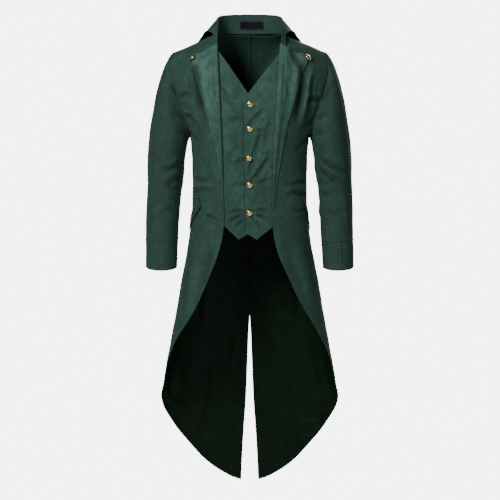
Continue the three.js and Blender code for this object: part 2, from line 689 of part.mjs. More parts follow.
// The collar as one folded wall: up the stand, over the fold, and down the leaf
const collarColumn = (name, k) =>
  column(COLLAR.map((row) => ({ share: row.share, value: row[name][k] })), "share", "value");
const collarCurve = (name) => {
  const parts = [0, 1, 2].map((k) => collarColumn(name, k));
  return (u) => {
    const [x, y, z] = parts.map((part) => part(Math.abs(u)));
    return new THREE.Vector3(x * Math.sign(u || 1), y, z);
  };
};
function collarWall() {
  const seam = collarCurve("seam");
  const fold = collarCurve("fold");
  const edge = collarCurve("edge");
  const across = [];
  for (let i = -COLLAR_STEPS / 2; i <= COLLAR_STEPS / 2; i += 1) across.push((2 * i) / COLLAR_STEPS);
  const points = across.map((u) => {
    const base = seam(u).add(new THREE.Vector3(0, 0, COLLAR_GAP));
    const top = fold(u);
    const hem = edge(u);
    const radius = mix(COLLAR_FOLD_RADIUS.back, COLLAR_FOLD_RADIUS.front, Math.abs(u));
    const out = hem.clone().sub(base).setZ(0).normalize();
    const middle = top.clone().add(new THREE.Vector3(0, 0, -radius));
    const standTop = middle.clone().addScaledVector(out, -radius);
    const leafTop = middle.clone().addScaledVector(out, radius);
    const row = STAND_SHARES.map((s) => base.clone().lerp(standTop, s));
    for (const angle of FOLD_ANGLES)
      row.push(
        middle
          .clone()
          .addScaledVector(out, -radius * Math.cos(angle * RAD))
          .add(new THREE.Vector3(0, 0, radius * Math.sin(angle * RAD))),
      );
    for (const s of LEAF_SHARES) row.push(leafTop.clone().lerp(hem, s));
    return row;
  });
  // The wall faces the neck along the stand, upwards over the fold and outwards along the leaf.
  const foldStart = STAND_SHARES.length;
  const foldEnd = foldStart + FOLD_ANGLES.length - 1;
  const normals = gridNormals(points, (p, i, j) => {
    const inwards = points[i][0].clone().sub(points[i][points[i].length - 1]).setZ(0).normalize();
    const share = clamp((j - foldStart) / (foldEnd - foldStart), 0, 1);
    return inwards.multiplyScalar(1 - 2 * share).add(new THREE.Vector3(0, 0, 2 * share * (1 - share)));
  });
  return wall(points, normals, CLOTH);
}

// The blank label on the inner face of the collar's stand
function labelWall() {
  const seam = collarCurve("seam");
  const fold = collarCurve("fold");
  const half = NECK_LABEL.width / 2;
  const rows = [NECK_LABEL.highZ, NECK_LABEL.lowZ];
  const points = rows.map((z) =>
    shares(6).map((s) => {
      const x = NECK_LABEL.middleX + mix(-half, half, s);
      const u = (x / COLLAR[1].seam[0]) * COLLAR[1].share;
      const base = seam(u).add(new THREE.Vector3(0, 0, COLLAR_GAP));
      const top = fold(u).add(new THREE.Vector3(0, -COLLAR_FOLD_RADIUS.back, -COLLAR_FOLD_RADIUS.back));
      const p = base.lerp(top, (z - base.z) / (top.z - base.z));
      return p.setY(p.y - NECK_LABEL.gap - NECK_LABEL.thick);
    }),
  );
  return wall(points, gridNormals(points, () => new THREE.Vector3(0, -1, 0)), NECK_LABEL.thick);
}

// A domed brass button on its shank, standing on the cloth along +Z
function buttonGeometry(radius) {
  const profile = [
    { r: 0, h: 0 },
    { r: 0.34, h: 0 },
    { r: 0.34, h: 0.2 },
    { r: 0.9, h: 0.24 },
    { r: 1, h: 0.36 },
    { r: 0.92, h: 0.5 },
    { r: 0.66, h: 0.66 },
    { r: 0.34, h: 0.75 },
    { r: 0, h: 0.78 },
  ].map(({ r, h }) => new THREE.Vector2(r * radius, h * radius));
  return new THREE.LatheGeometry(profile, 14).rotateX(Math.PI / 2);
}
function addButton(name, turn, drop, lift, radius) {
  const mesh = add(name, buttonGeometry(radius), "brass");
  const normal = bodyNormal(turn, drop);
  mesh.position.copy(bodyPoint(turn, drop).addScaledVector(normal, lift + SEAM));
  mesh.quaternion.setFromUnitVectors(new THREE.Vector3(0, 0, 1), normal);
}

const armRows = shares(ARM_ROWS).map((t) => t * PIT_SHARE);
const below = (end) => shares(SIDE_ROWS).slice(1).map((t) => mix(PIT_SHARE, end, t));
const FRONT_ROWS = [...armRows, ...below(1)];
const LINING_HEM = 0.985; // the last row and column of the lining, just inside the tail's edges
const LINING_EDGE = 0.965;
const BACK_ROWS = [...armRows, ...below(CORNER_SHARE), LINING_HEM, 1];
const BACK_COLUMNS = [...shares(10).slice(0, -1), LINING_EDGE, 1];

for (const side of Object.keys(SIDES)) {
  const front = coatFront(side);
  const back = coatBack(side);
  add(`coat_front_${side}`, bodyWall({ where: front, rows: FRONT_ROWS, columns: shares(9) }), "cloth");
  add(`coat_back_${side}`, bodyWall({ where: back, rows: BACK_ROWS, columns: BACK_COLUMNS }), "cloth");

  add(
    `lining_${side}`,
    bodyWall({
      where: back,
      lift: () => -CLOTH - SEAM,
      rows: BACK_ROWS.slice(1, -1),
      columns: BACK_COLUMNS.slice(0, -1),
      thick: LINING,
    }),
    "lining",
  );

  add(
    `lapel_${side}`,
    bodyWall({
      where: lapel(side),
      lift: lapelLift,
      rows: shares(16).map((t) => t ** ROW_CROWDING.lapel),
      columns: shares(6),
    }),
    "cloth",
  );

  const vest = waistcoat(side);
  const vestRows = [
    ...shares(5).map((t) => t * WAISTCOAT_V_SHARE),
    ...shares(9).slice(1).map((t) => mix(WAISTCOAT_V_SHARE, 1, t)),
  ];
  add(
    `waistcoat_${side}`,
    bodyWall({ where: vest, lift: waistcoatLift(side, vest), rows: vestRows, columns: shares(8) }),
    "cloth",
  );

  add(
    `pocket_flap_${side}`,
    bodyWall({ where: pocketFlap(side), lift: () => CLOTH + 2 * SEAM, rows: shares(2), columns: shares(6) }),
    "cloth",
  );

  add(`sleeve_upper_${side}`, sleevePiece(side, SLEEVE_SEAMS.back - 360, SLEEVE_SEAMS.front), "cloth");
  add(`sleeve_under_${side}`, sleevePiece(side, SLEEVE_SEAMS.front, SLEEVE_SEAMS.back), "cloth");

  const tipX = LAPEL_EDGE[side][0].x - LAPEL_BUTTON.inset;
  const [turn, drop] = placeX(SIDES[side] * tipX, LAPEL_BUTTON.z);
  addButton(`lapel_button_${side}`, turn, drop, lapelLift(1, 0) - SEAM, LAPEL_BUTTON.radius);
}

add("collar", collarWall(), "cloth");
add("neck_label", labelWall(), "label");

BUTTON_HEIGHTS.forEach(({ z, x }, i) => {
  const [turn, drop] = placeX(x, z);
  addButton(`waistcoat_button_${i + 1}`, turn, drop, -UNDER_COAT, BUTTON_RADIUS);
});

export default group;
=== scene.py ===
"""A long dark green tailcoat with an attached waistcoat front, hollow, as it sits on a wearer.

The wearer faces -Y, so +X is the wearer's left. Every form is worked out in millimetres from the
same driving sizes as the solids of the frame, and every mesh is written in metres.
"""

import logging
import math
from collections.abc import Callable, Sequence
from dataclasses import dataclass, field
from enum import Enum
from typing import NamedTuple, TypeVar

import bmesh
import bpy
import numpy as np
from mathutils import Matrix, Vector


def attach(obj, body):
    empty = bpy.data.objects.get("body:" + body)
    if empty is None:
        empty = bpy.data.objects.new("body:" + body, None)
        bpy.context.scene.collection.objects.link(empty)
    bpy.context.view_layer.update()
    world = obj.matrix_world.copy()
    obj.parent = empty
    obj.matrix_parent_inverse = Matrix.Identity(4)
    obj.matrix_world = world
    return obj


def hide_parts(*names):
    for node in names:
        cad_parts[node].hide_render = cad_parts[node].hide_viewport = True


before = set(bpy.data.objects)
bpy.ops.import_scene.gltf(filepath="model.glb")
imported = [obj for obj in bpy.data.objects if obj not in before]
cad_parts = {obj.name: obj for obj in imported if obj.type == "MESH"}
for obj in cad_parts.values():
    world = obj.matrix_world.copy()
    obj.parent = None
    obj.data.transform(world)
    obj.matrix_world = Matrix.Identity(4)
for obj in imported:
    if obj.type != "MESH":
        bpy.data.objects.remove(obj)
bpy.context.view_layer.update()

log = logging.getLogger("tailcoat")

Array = np.ndarray
Edge = Callable[[Array], Array]
Socket = bpy.types.NodeSocket
Piece = bpy.types.Object
Finish = bpy.types.Material
Row = TypeVar("Row")

MM = 0.001
BODY = "root"
WEAVE = "weave"
# each point's fold depth, which the wool also turns into painted shade and painted highlight
FOLD = "fold"


class Side(Enum):
    """The wearer's two sides."""

    RIGHT = "right"
    LEFT = "left"

    @property
    def sign(self) -> int:
        """The side's direction along X."""
        return -1 if self is Side.RIGHT else 1

    @property
    def flip(self) -> Array:
        """What turns a place of the left side into this side's."""
        return np.array([self.sign, 1.0])


class Slot(Enum):
    """The record's material slots."""

    CLOTH = "coat_cloth"
    LINING = "lining_satin"
    LABEL = "label_cloth"
    BRASS = "button_brass"


def table(kind: type[Row], *values: tuple) -> tuple[Row, ...]:
    """A table whose rows are all of one kind."""
    return tuple(kind(*value) for value in values)


# The driving sizes, in millimetres


class Section(NamedTuple):
    """A horizontal section of the body: half its width, and its depth before and behind the middle."""

    z: float
    half: float
    front: float
    back: float


SECTIONS = table(
    Section, (60, 228, 100, 100), (-47, 228, 108, 110), (-90, 237, 113, 116), (-124, 231, 116, 119),
    (-168, 215.4, 118, 121), (-198, 199.5, 118, 121), (-236, 179.4, 117, 119), (-262, 168, 116, 117),
    (-275, 162.5, 115, 116), (-300, 159, 112, 112), (-374, 155.5, 104, 101), (-430, 156.5, 101, 97),
    (-484, 159, 102, 99), (-550, 165, 106, 106), (-616, 176, 112, 115), (-682, 189, 118, 123),
    (-748, 200, 123, 130), (-814, 212.5, 128, 136), (-880, 224, 132, 141), (-946, 237, 136, 145),
    (-990, 254, 138, 148), (-1034, 262, 140, 150), (-1100, 270, 142, 153), (-1220, 280, 145, 157),
)


class EdgeRow(NamedTuple):
    """Where an edge lies at a height, on each side."""

    z: float
    right: float
    left: float


# The front edge of each coat front down to the waist, as its distance from the middle
ROLL_LINE = table(
    EdgeRow, (10, 88, 88), (-35, 90, 86), (-66, 89.5, 83.6), (-121, 86.5, 80), (-212, 81.4, 74),
    (-304, 76.8, 67.4), (-373, 73.5, 65.2), (-430, 72, 64), (-520, 70, 63),
)

# The cutaway edge below the waist, as degrees of turn from the centre front
CUTAWAY = table(
    EdgeRow, (-520, 24, 20.8), (-545, 24.4, 21.6), (-569, 25.8, 22.7), (-613, 29.3, 26.4),
    (-652, 34, 31.9), (-693, 39, 37.2), (-726, 43.4, 42.7), (-775, 52.3, 53), (-833, 67.9, 66),
    (-885, 81, 78.5), (-924, 89, 88.5), (-938, 94, 94), (-987, 109, 109),
)


class OutlinePoint(NamedTuple):
    """A point of an outline: its signed distance from the middle, and its height."""

    x: float
    z: float


# The opened centre vent of the tails
VENT_EDGE = table(
    OutlinePoint, (0.2, -756), (4, -814), (6.5, -880), (11, -990), (17, -1078), (22, -1166),
    (24, -1217),
)

# A tail's hem at even shares from its tip by the vent to its outer corner
TAIL_HEM = table(
    OutlinePoint, (24, -1217), (46, -1210), (76, -1194), (105, -1175), (131, -1154), (156, -1129),
    (178, -1103), (197, -1078), (214, -1050), (230, -1018), (240.5, -987),
)

# The outer edge of each lapel, from its buttoned tip down to the coat's front edge
LAPEL_EDGE = {
    Side.RIGHT: table(
        OutlinePoint, (158, -56), (146, -121), (113.6, -228), (105, -261), (86, -338), (75.5, -425),
    ),
    Side.LEFT: table(
        OutlinePoint, (160, -56), (150, -95), (128, -157), (104, -239), (86, -332), (75, -400),
        (67, -500),
    ),
}

# The waistcoat's hem from its hidden outer edge to the overlap
WAISTCOAT_HEM = {
    Side.RIGHT: table(
        OutlinePoint, (-122, -503), (-98, -509), (-70, -521), (-50, -539), (-31, -557.4), (-18, -550),
        (-5.5, -543), (7, -537), (18, -531),
    ),
    Side.LEFT: table(
        OutlinePoint, (116, -503), (90, -511), (63, -524), (41, -541), (20, -557.4), (10, -552),
        (0, -546.5), (-5.5, -543.5), (-10.5, -541),
    ),
}


class NeckV(NamedTuple):
    """One edge of the waistcoat's neck opening."""

    top: OutlinePoint
    corner: OutlinePoint


WAISTCOAT_V = {
    Side.RIGHT: NeckV(OutlinePoint(-91, -34), OutlinePoint(14, -188)),
    Side.LEFT: NeckV(OutlinePoint(89, -38), OutlinePoint(-16, -176)),
}

WAISTCOAT_BUTTONS = table(
    OutlinePoint, (1.6, -190), (0.3, -257), (-2, -337), (0, -410), (-0.5, -486),
)


class CollarRow(NamedTuple):
    """A cut through the collar: its neck seam, the fold above its stand, and its leaf's edge."""

    share: float
    seam: tuple[float, float, float]
    fold: tuple[float, float, float]
    edge: tuple[float, float, float]


COLLAR = table(
    CollarRow, (0, (0, 63.7, 5), (0, 76, 60), (0, 98, -21)),
    (0.2, (42, 57.2, 5.4), (42, 70, 59), (61, 92, -22)),
    (0.4, (74, 38, 5.8), (76, 46, 55.5), (110, 64, -19)),
    (0.55, (86.5, 14, 6), (87.5, 18, 48), (141, 24, -16)),
    (0.68, (87, -18, 4), (89, -13, 33), (132, -6, -5)),
    (0.78, (87, -41, -2), (89.5, -36, 18), (117, -22, 13)),
    (0.84, (87, -54, -8), (89.5, -50, 6), (99, -41, 2)),
    (1, (88, -79, -28), (90, -77, -21), (99, -75, -26)),
)


class ArmRing(NamedTuple):
    """A section of the sleeve: its middle, its width across and its depth from front to back."""

    z: float
    x: float
    y: float
    width: float
    depth: float


SLEEVE_RINGS = table(
    ArmRing, (-300, 219.5, 4, 95, 150), (-345, 226, 4, 94, 140), (-396, 231.5, 2, 91, 130),
    (-460, 235.5, -3, 88.5, 119), (-528, 238.5, -12, 86, 110), (-590, 240.5, -22, 83.5, 103),
    (-643, 241.5, -31, 81.5, 98),
)


class Flute(NamedTuple):
    """A soft vertical wave of the skirt and tails, the same on both sides."""

    turn: float
    top_z: float
    depth: float
    width: float


FLUTES = table(
    Flute, (70, -640, 3.5, 9), (118, -620, 5, 10), (146, -700, -4.5, 9), (166, -760, 4, 7),
)


class Crease(NamedTuple):
    """A crease: the places it runs through, its depth and half its width.

    A negative depth makes a ridge. The fades are the shares of its length over which it dies out.
    """

    places: tuple[tuple[float, float], ...]
    depth: float
    width: float
    fade_in: float = 0.35
    fade_out: float = 0.35


# Creases of the coat fronts and skirt, through points x, z
FRONT_CREASES = table(
    Crease, (((151, -72), (143, -150), (122, -266)), 6.0, 11, 0.12, 0.5),
    (((163, -84), (154, -160), (136, -262)), -2.6, 8, 0.3, 0.5),
    (((176, -98), (166, -176), (150, -258)), 3.2, 9, 0.25, 0.5),
    (((98, -12), (116, -20), (138, -30)), 1.3, 10, 0.3, 0.4), (((190, -116), (180, -178)), 1.6, 7),
    (((200, -182), (168, -172), (140, -188)), 3.0, 7, 0.35, 0.6),
    (((188, -222), (160, -238), (128, -266)), 3.0, 8, 0.35, 0.6),
    (((172, -262), (146, -292), (116, -338)), 2.4, 9, 0.1, 0.6),
    (((152, -398), (118, -409), (84, -403)), 2.0, 7, 0.1, 0.5),
    (((153, -436), (121, -431), (90, -444)), 2.3, 8, 0.1, 0.5),
    (((156, -474), (132, -482), (101, -473)), 1.6, 6, 0.1, 0.5),
    (((96, -540), (112, -610), (129, -700)), 1.4, 13),
    (((121, -560), (146, -660), (167, -770)), -0.9, 14),
    (((148, -545), (170, -640), (188, -745)), 1.6, 12),
    (((-151, -76), (-140, -160), (-119, -256)), 5.0, 11, 0.12, 0.5),
    (((-168, -100), (-156, -188)), 2.4, 8, 0.25, 0.5),
    (((-98, -12), (-117, -20), (-138, -29)), 1.2, 10, 0.3, 0.4),
    (((-198, -172), (-172, -161), (-147, -173)), 2.6, 6, 0.35, 0.6),
    (((-188, -216), (-161, -227), (-134, -252)), 3.0, 7, 0.35, 0.6),
    (((-172, -256), (-150, -281), (-125, -320)), 2.2, 8, 0.1, 0.6),
    (((-151, -392), (-122, -399), (-88, -391)), 1.9, 7, 0.1, 0.5),
    (((-153, -430), (-124, -422), (-84, -435)), 2.2, 7, 0.1, 0.5),
    (((-121, -492), (-98, -500), (-75, -517)), 2.8, 6, 0.1, 0.4),
    (((-117, -507), (-97, -515), (-80, -530)), 2.0, 5, 0.1, 0.4),
    (((-98, -548), (-116, -622), (-133, -710)), 1.5, 13),
    (((-126, -570), (-148, -670), (-171, -784)), -0.8, 15),
    (((-150, -552), (-168, -630), (-190, -760)), 1.5, 11),
)

# Creases of the sides and the back, through points turn, z
BACK_CREASES = table(
    Crease, (((172, -92), (150, -132), (128, -172)), 2.6, 10, 0.4, 0.35),
    (((164, -188), (140, -205), (112, -240)), 2.8, 9, 0.4, 0.35),
    (((158, -262), (132, -272), (104, -300)), 2.0, 8, 0.4, 0.35),
    (((177, -396), (150, -410), (112, -401)), 2.6, 9, 0.15, 0.3),
    (((174, -432), (146, -425), (106, -438)), 2.2, 7, 0.15, 0.3),
    (((170, -462), (141, -471), (108, -459)), 1.8, 8, 0.3, 0.3),
    (((93, -318), (99, -350), (92, -388)), 1.8, 7), (((130, -520), (134, -640), (141, -810)), 3.0, 12),
    (((155, -540), (158, -700), (161, -900)), 2.2, 16),
    (((107, -560), (110, -690), (114, -830)), 2.4, 13),
    (((152, -900), (154, -1020), (150, -1110)), 2.2, 16, 0.3, 0.45),
    (((127, -900), (124, -980), (126, -1050)), 1.6, 13, 0.3, 0.5),
    (((168, -870), (171, -1010), (168, -1190)), -2.6, 11, 0.3, 0.2),
    (((112, -860), (110, -940)), 1.2, 12, 0.3, 0.5),
    (((-172, -98), (-148, -144), (-126, -178)), 2.3, 9, 0.4, 0.35),
    (((-166, -176), (-142, -196), (-114, -228)), 3.0, 9, 0.4, 0.35),
    (((-160, -250), (-130, -266), (-102, -290)), 1.8, 8, 0.4, 0.35),
    (((-176, -404), (-148, -414), (-108, -406)), 2.4, 8, 0.15, 0.3),
    (((-178, -440), (-150, -432), (-112, -446)), 2.3, 8, 0.15, 0.3),
    (((-168, -476), (-139, -468), (-110, -480)), 1.6, 7, 0.3, 0.3),
    (((-92, -330), (-98, -358), (-91, -400)), 1.6, 7),
    (((-128, -530), (-133, -660), (-138, -830)), 2.8, 12),
    (((-157, -525), (-159, -680), (-163, -880)), 2.0, 17),
    (((-106, -575), (-109, -700), (-112, -820)), 2.6, 12),
    (((-149, -880), (-151, -1000), (-147, -1100)), 2.1, 15, 0.3, 0.45),
    (((-125, -890), (-128, -970), (-131, -1040)), 1.7, 14, 0.3, 0.5),
    (((-170, -890), (-172, -1040), (-170, -1195)), -2.4, 12, 0.3, 0.2),
    (((-113, -850), (-115, -930)), 1.3, 12, 0.3, 0.5),
)

# Creases of the lining, through points turn, z; the lining only moves into the hollow
LINING_CREASES = table(
    Crease, (((157, -20), (166, -66), (177, -128)), 3.0, 8, 0.1, 0.5),
    (((-160, -26), (-168, -74), (-176, -118)), 2.2, 7, 0.1, 0.5), (((174, -40), (171, -110)), 1.6, 6),
    (((136, -905), (148, -965), (163, -1000)), 1.8, 10),
    (((110, -975), (124, -1015), (140, -1030)), 1.9, 10, 0.1, 0.5),
    (((118, -1040), (136, -1062), (158, -1060)), 1.6, 9),
    (((132, -1090), (150, -1108), (168, -1100)), 1.4, 9), (((152, -1120), (163, -1160)), 1.2, 10),
    (((-134, -920), (-146, -978), (-160, -1020)), 1.6, 10),
    (((-112, -965), (-128, -1010), (-143, -1018)), 1.9, 10, 0.1, 0.5),
    (((-120, -1050), (-140, -1078), (-160, -1070)), 1.5, 9),
    (((-136, -1100), (-152, -1116), (-170, -1112)), 1.3, 9), (((-150, -1110), (-161, -1165)), 1.3, 10),
    (((172, -800), (168, -880), (171, -950)), 2.4, 9),
    (((-172, -810), (-169, -900), (-172, -960)), 2.2, 9),
)

# Creases of each lapel, through points x, z
LAPEL_CREASES = {
    Side.RIGHT: table(
        Crease, (((-97, -56), (-95, -130), (-91, -205)), 1.0, 3.2),
        (((-104, -48), (-122, -62), (-146, -66)), 1.2, 6, 0.1, 0.5),
        (((-101, -72), (-118, -96), (-138, -112)), 1.4, 6, 0.1, 0.5),
        (((-99, -112), (-112, -150), (-124, -180)), 1.0, 6, 0.1, 0.5),
    ),
    Side.LEFT: table(
        Crease, (((93, -50), (91, -130), (86, -215)), 1.2, 3.2),
        (((112, -36), (122, -66), (146, -108)), 3.4, 11, 0.15, 0.4),
        (((98, -58), (112, -90), (128, -118)), 1.6, 6, 0.1, 0.5),
        (((95, -120), (106, -156), (116, -186)), 1.1, 6, 0.1, 0.5),
    ),
}

# Creases of each waistcoat front, through points x, z
WAISTCOAT_CREASES = {
    Side.RIGHT: table(
        Crease, (((-2, -487), (-34, -497), (-70, -513)), 3.4, 5, 0.05, 0.5),
        (((-2, -483), (-36, -481), (-72, -490)), 2.6, 5, 0.05, 0.5),
        (((-2, -492), (-26, -511), (-50, -533)), 2.2, 4.5, 0.05, 0.5),
        (((-3, -411), (-36, -408), (-70, -418)), 1.4, 6, 0.05, 0.5),
        (((-12, -231), (-60, -232)), 1.4, 6, 0.2, 0.3),
        (((-3, -338), (-38, -350), (-70, -352)), 1.3, 6, 0.05, 0.5),
        (((-30, -214), (-62, -176), (-84, -128)), 1.5, 7),
        (((-24, -300), (-50, -322), (-68, -362)), 1.2, 7),
    ),
    Side.LEFT: table(
        Crease, (((2, -487), (30, -493), (60, -505)), 3.2, 5, 0.05, 0.5),
        (((2, -483), (30, -478), (60, -484)), 2.4, 5, 0.05, 0.5),
        (((2, -492), (20, -512), (38, -535)), 2.2, 4.5, 0.05, 0.5),
        (((46, -196), (22, -222), (-4, -252)), 2.2, 6, 0.4, 0.1),
        (((38, -244), (18, -310), (-3, -384)), 2.4, 6, 0.3, 0.15),
        (((60, -326), (32, -368), (3, -409)), 2.4, 6, 0.3, 0.05),
        (((62, -392), (36, -402), (4, -411)), 1.6, 6, 0.4, 0.05),
        (((66, -214), (48, -262), (40, -312)), 1.6, 7),
        (((2, -257), (26, -262), (52, -256)), 1.4, 5, 0.05, 0.5),
    ),
}

# Creases of each sleeve, through points angle, share: 90 is the arm's front, 180 faces the body
SLEEVE_CREASES = {
    Side.LEFT: table(
        Crease, (((102, 0.02), (72, 0.07), (38, 0.10)), 2.6, 6, 0.35, 0.6),
        (((126, 0.06), (98, 0.16), (70, 0.22)), 2.6, 7, 0.35, 0.6),
        (((140, 0.14), (112, 0.27), (82, 0.33)), 2.4, 8, 0.35, 0.6),
        (((126, 0.45), (92, 0.50), (58, 0.53)), 3.4, 7, 0.2, 0.4),
        (((138, 0.50), (104, 0.545), (66, 0.575)), 3.6, 7, 0.15, 0.4),
        (((134, 0.575), (106, 0.57), (82, 0.54)), 2.6, 6, 0.2, 0.5),
        (((144, 0.62), (118, 0.63), (92, 0.60)), 2.2, 7, 0.2, 0.5),
        (((128, 0.69), (104, 0.72), (72, 0.71)), 1.8, 8),
        (((258, 0.10), (286, 0.18), (318, 0.20)), 2.4, 8, 0.35, 0.6),
        (((244, 0.22), (272, 0.30), (300, 0.35)), 2.2, 9, 0.35, 0.6),
        (((238, 0.52), (268, 0.50), (300, 0.52)), 2.6, 8),
        (((228, 0.60), (262, 0.585), (292, 0.60)), 2.2, 8),
        (((60, 0.60), (48, 0.70), (52, 0.80)), 1.8, 9), (((12, 0.30), (-4, 0.44), (4, 0.58)), 1.6, 10),
        (((186, 0.46), (170, 0.54), (184, 0.60)), 2.4, 8),
        (((206, 0.66), (184, 0.72), (160, 0.70)), 1.8, 8),
    ),
    Side.RIGHT: table(
        Crease, (((100, 0.02), (74, 0.05), (46, 0.11)), 2.2, 6, 0.35, 0.6),
        (((124, 0.07), (100, 0.15), (74, 0.24)), 2.8, 7, 0.35, 0.6),
        (((142, 0.15), (116, 0.25), (86, 0.34)), 2.2, 8, 0.35, 0.6),
        (((130, 0.47), (98, 0.50), (64, 0.515)), 3.0, 7, 0.2, 0.4),
        (((140, 0.53), (108, 0.56), (76, 0.595)), 3.0, 8, 0.15, 0.4),
        (((132, 0.60), (108, 0.60), (84, 0.57)), 2.2, 6, 0.2, 0.5),
        (((122, 0.68), (98, 0.70), (70, 0.73)), 1.8, 8),
        (((256, 0.12), (284, 0.19), (314, 0.22)), 2.6, 8, 0.35, 0.6),
        (((246, 0.24), (270, 0.33), (298, 0.37)), 2.0, 9, 0.35, 0.6),
        (((236, 0.50), (266, 0.485), (296, 0.50)), 2.4, 8),
        (((226, 0.58), (258, 0.575), (290, 0.59)), 2.4, 8),
        (((56, 0.62), (44, 0.71), (50, 0.82)), 1.6, 9), (((8, 0.28), (-6, 0.42), (2, 0.60)), 1.8, 10),
        (((188, 0.48), (172, 0.56), (186, 0.63)), 2.2, 8),
    ),
}


# Maths


def mix(first: Array | float, second: Array | float, share: Array | float) -> Array | float:
    """Goes from the first value to the second by a share."""
    return first + (second - first) * share


def smooth(share: Array) -> Array:
    """A soft step from 0 to 1 as the share goes from 0 to 1."""
    t = np.clip(share, 0, 1)
    return t * t * (3 - 2 * t)


def unit(vectors: Array) -> Array:
    """The vectors at length 1."""
    return vectors / np.maximum(np.linalg.norm(vectors, axis=-1, keepdims=True), 1e-9)


class Curve:
    """A smooth curve through rows of place and value, with no overshoot between two rows."""

    def __init__(self, places: Sequence[float], values: Sequence[float]) -> None:
        """Sorts the rows and works out the curve's slope at each.

        Args:
            places: Where the values are, in any order.
            values: The value at each place.
        """
        order = np.argsort(places)
        self.at = np.asarray(places, float)[order]
        self.value = np.asarray(values, float)[order]
        slope = np.diff(self.value) / np.diff(self.at)
        before = np.concatenate([slope[:1], slope])
        after = np.concatenate([slope, slope[-1:]])
        agree = before * after > 0
        total = np.where(agree, before + after, 1)
        self.tangent = np.where(agree, 2 * before * after / total, 0)

    def __call__(self, place: Array | float) -> Array:
        """The value at each place, held at its end value outside the rows.

        Args:
            place: Where the value is wanted.

        Returns:
            The values, in the shape of the places.
        """
        p = np.clip(place, self.at[0], self.at[-1])
        i = np.clip(np.searchsorted(self.at, p, side="right") - 1, 0, len(self.at) - 2)
        span = self.at[i + 1] - self.at[i]
        t = (p - self.at[i]) / span
        rest = 1 - t
        ends = self.value[i] * (1 + 2 * t) * rest**2 + self.value[i + 1] * t**2 * (3 - 2 * t)
        return ends + span * t * rest * (self.tangent[i] * rest - self.tangent[i + 1] * t)


SHARE_DIGITS = 6  # shares closer than this are one, so that no sliver of a face is made


def stations(count: int, corners: Sequence[float] = (), edge: float = 0.004) -> Array:
    """Even shares from 0 to 1 that also pass some corners and lie close together at both ends.

    Args:
        count: How many even steps there are.
        corners: Shares that have to be among them.
        edge: How far the second and the last but one lie from the ends.

    Returns:
        The shares in rising order.
    """
    shares = np.concatenate([np.linspace(0, 1, count + 1), corners, [edge, 1 - edge]])
    return np.unique(shares.round(SHARE_DIGITS))


def two_part(first: int, second: int, corner: float, edge: float = 0.001) -> Array:
    """Shares from 0 to 1 with a number of even steps before a corner and another after it."""
    parts = [np.linspace(0, corner, first + 1), np.linspace(corner, 1, second + 1)[1:]]
    return np.unique(np.concatenate([*parts, [edge, 1 - edge]]).round(SHARE_DIGITS))


class Fold(NamedTuple):
    """A crease as it lies on a form: the points it runs through, with its depth and width."""

    route: Array
    depth: float
    width: float
    fade_in: float = 0.0
    fade_out: float = 0.0


FOLD_STRENGTH = 1.7  # how much deeper the creases of the body are made than the depths listed
FOLD_REACH = 4.0  # how many widths away from its route a fold is still felt
FOLD_BANK = 0.3  # how high the cloth rises beside a trough, as a share of its depth
FOLD_BANK_AT = 2.0  # how many widths away the banks stand


def nearest_on(points: Array, route: Array) -> tuple[Array, Array]:
    """Each point's distance to a route, and the share of the route at its nearest place."""
    start, step = route[:-1], np.diff(route, axis=0)
    length = np.maximum(np.linalg.norm(step, axis=1), 1e-6)
    offset = points[:, None, :] - start[None]
    along = np.clip((offset * step).sum(-1) / length**2, 0, 1)
    gap = np.linalg.norm(offset - along[..., None] * step, axis=-1)
    nearest = gap.argmin(axis=1)
    rows = np.arange(len(points))
    before = np.concatenate([[0], np.cumsum(length)[:-1]])
    share = (before[nearest] + along[rows, nearest] * length[nearest]) / length.sum()
    return gap[rows, nearest], share


def close_places(places: Sequence[tuple[float, float]]) -> tuple[Array, Array]:
    """The first and the second values of close places along a crease."""
    count = len(places)
    at = np.linspace(0, count - 1, 7 * (count - 1) + 1)
    first, second = np.transpose(places)
    return np.interp(at, range(count), first), np.interp(at, range(count), second)


def fold_shift(points: Array, folds: Sequence[Fold]) -> Array:
    """How far a set of folds moves the cloth outwards at each point.

    Args:
        points: Points of the smooth form, in any grid.
        folds: The folds that lie on it.

    Returns:
        The outward move at each point, negative in a trough.
    """
    flat = points.reshape(-1, 3)
    shift = np.zeros(len(flat))
    for fold in folds:
        reach = FOLD_REACH * fold.width
        low, high = fold.route.min(axis=0) - reach, fold.route.max(axis=0) + reach
        near = np.flatnonzero(((flat > low) & (flat < high)).all(axis=1))
        if near.size == 0:
            continue
        gap, share = nearest_on(flat[near], fold.route)
        away = gap / fold.width
        profile = np.exp(-(away**2)) - FOLD_BANK * np.exp(-((away - FOLD_BANK_AT) ** 2))
        fade_in, fade_out = max(fold.fade_in, 1e-3), max(fold.fade_out, 1e-3)
        taper = smooth((share + 1e-3) / fade_in) * smooth((1.001 - share) / fade_out)
        shift[near] -= fold.depth * profile * taper
    return shift.reshape(points.shape[:-1])


def drape(points: Array) -> Array:
    """The slight unevenness of hanging cloth: long waves that cross each other, in millimetres."""
    x, y, z = points[..., 0], points[..., 1], points[..., 2]
    wide = np.sin(0.041 * x + 0.017 * z + 1.3 * np.sin(0.013 * z)) * np.cos(0.036 * y + 0.6)
    close = np.sin(0.083 * x - 0.052 * z + 2.1) * np.sin(0.071 * y + 0.045 * z)
    return 0.8 * wide + 0.4 * close


def settled(points: Array, folds: Sequence[Fold]) -> Array:
    """How far the folds and the cloth's own unevenness move each point outwards."""
    return fold_shift(points, folds) + drape(points)


# The worn form


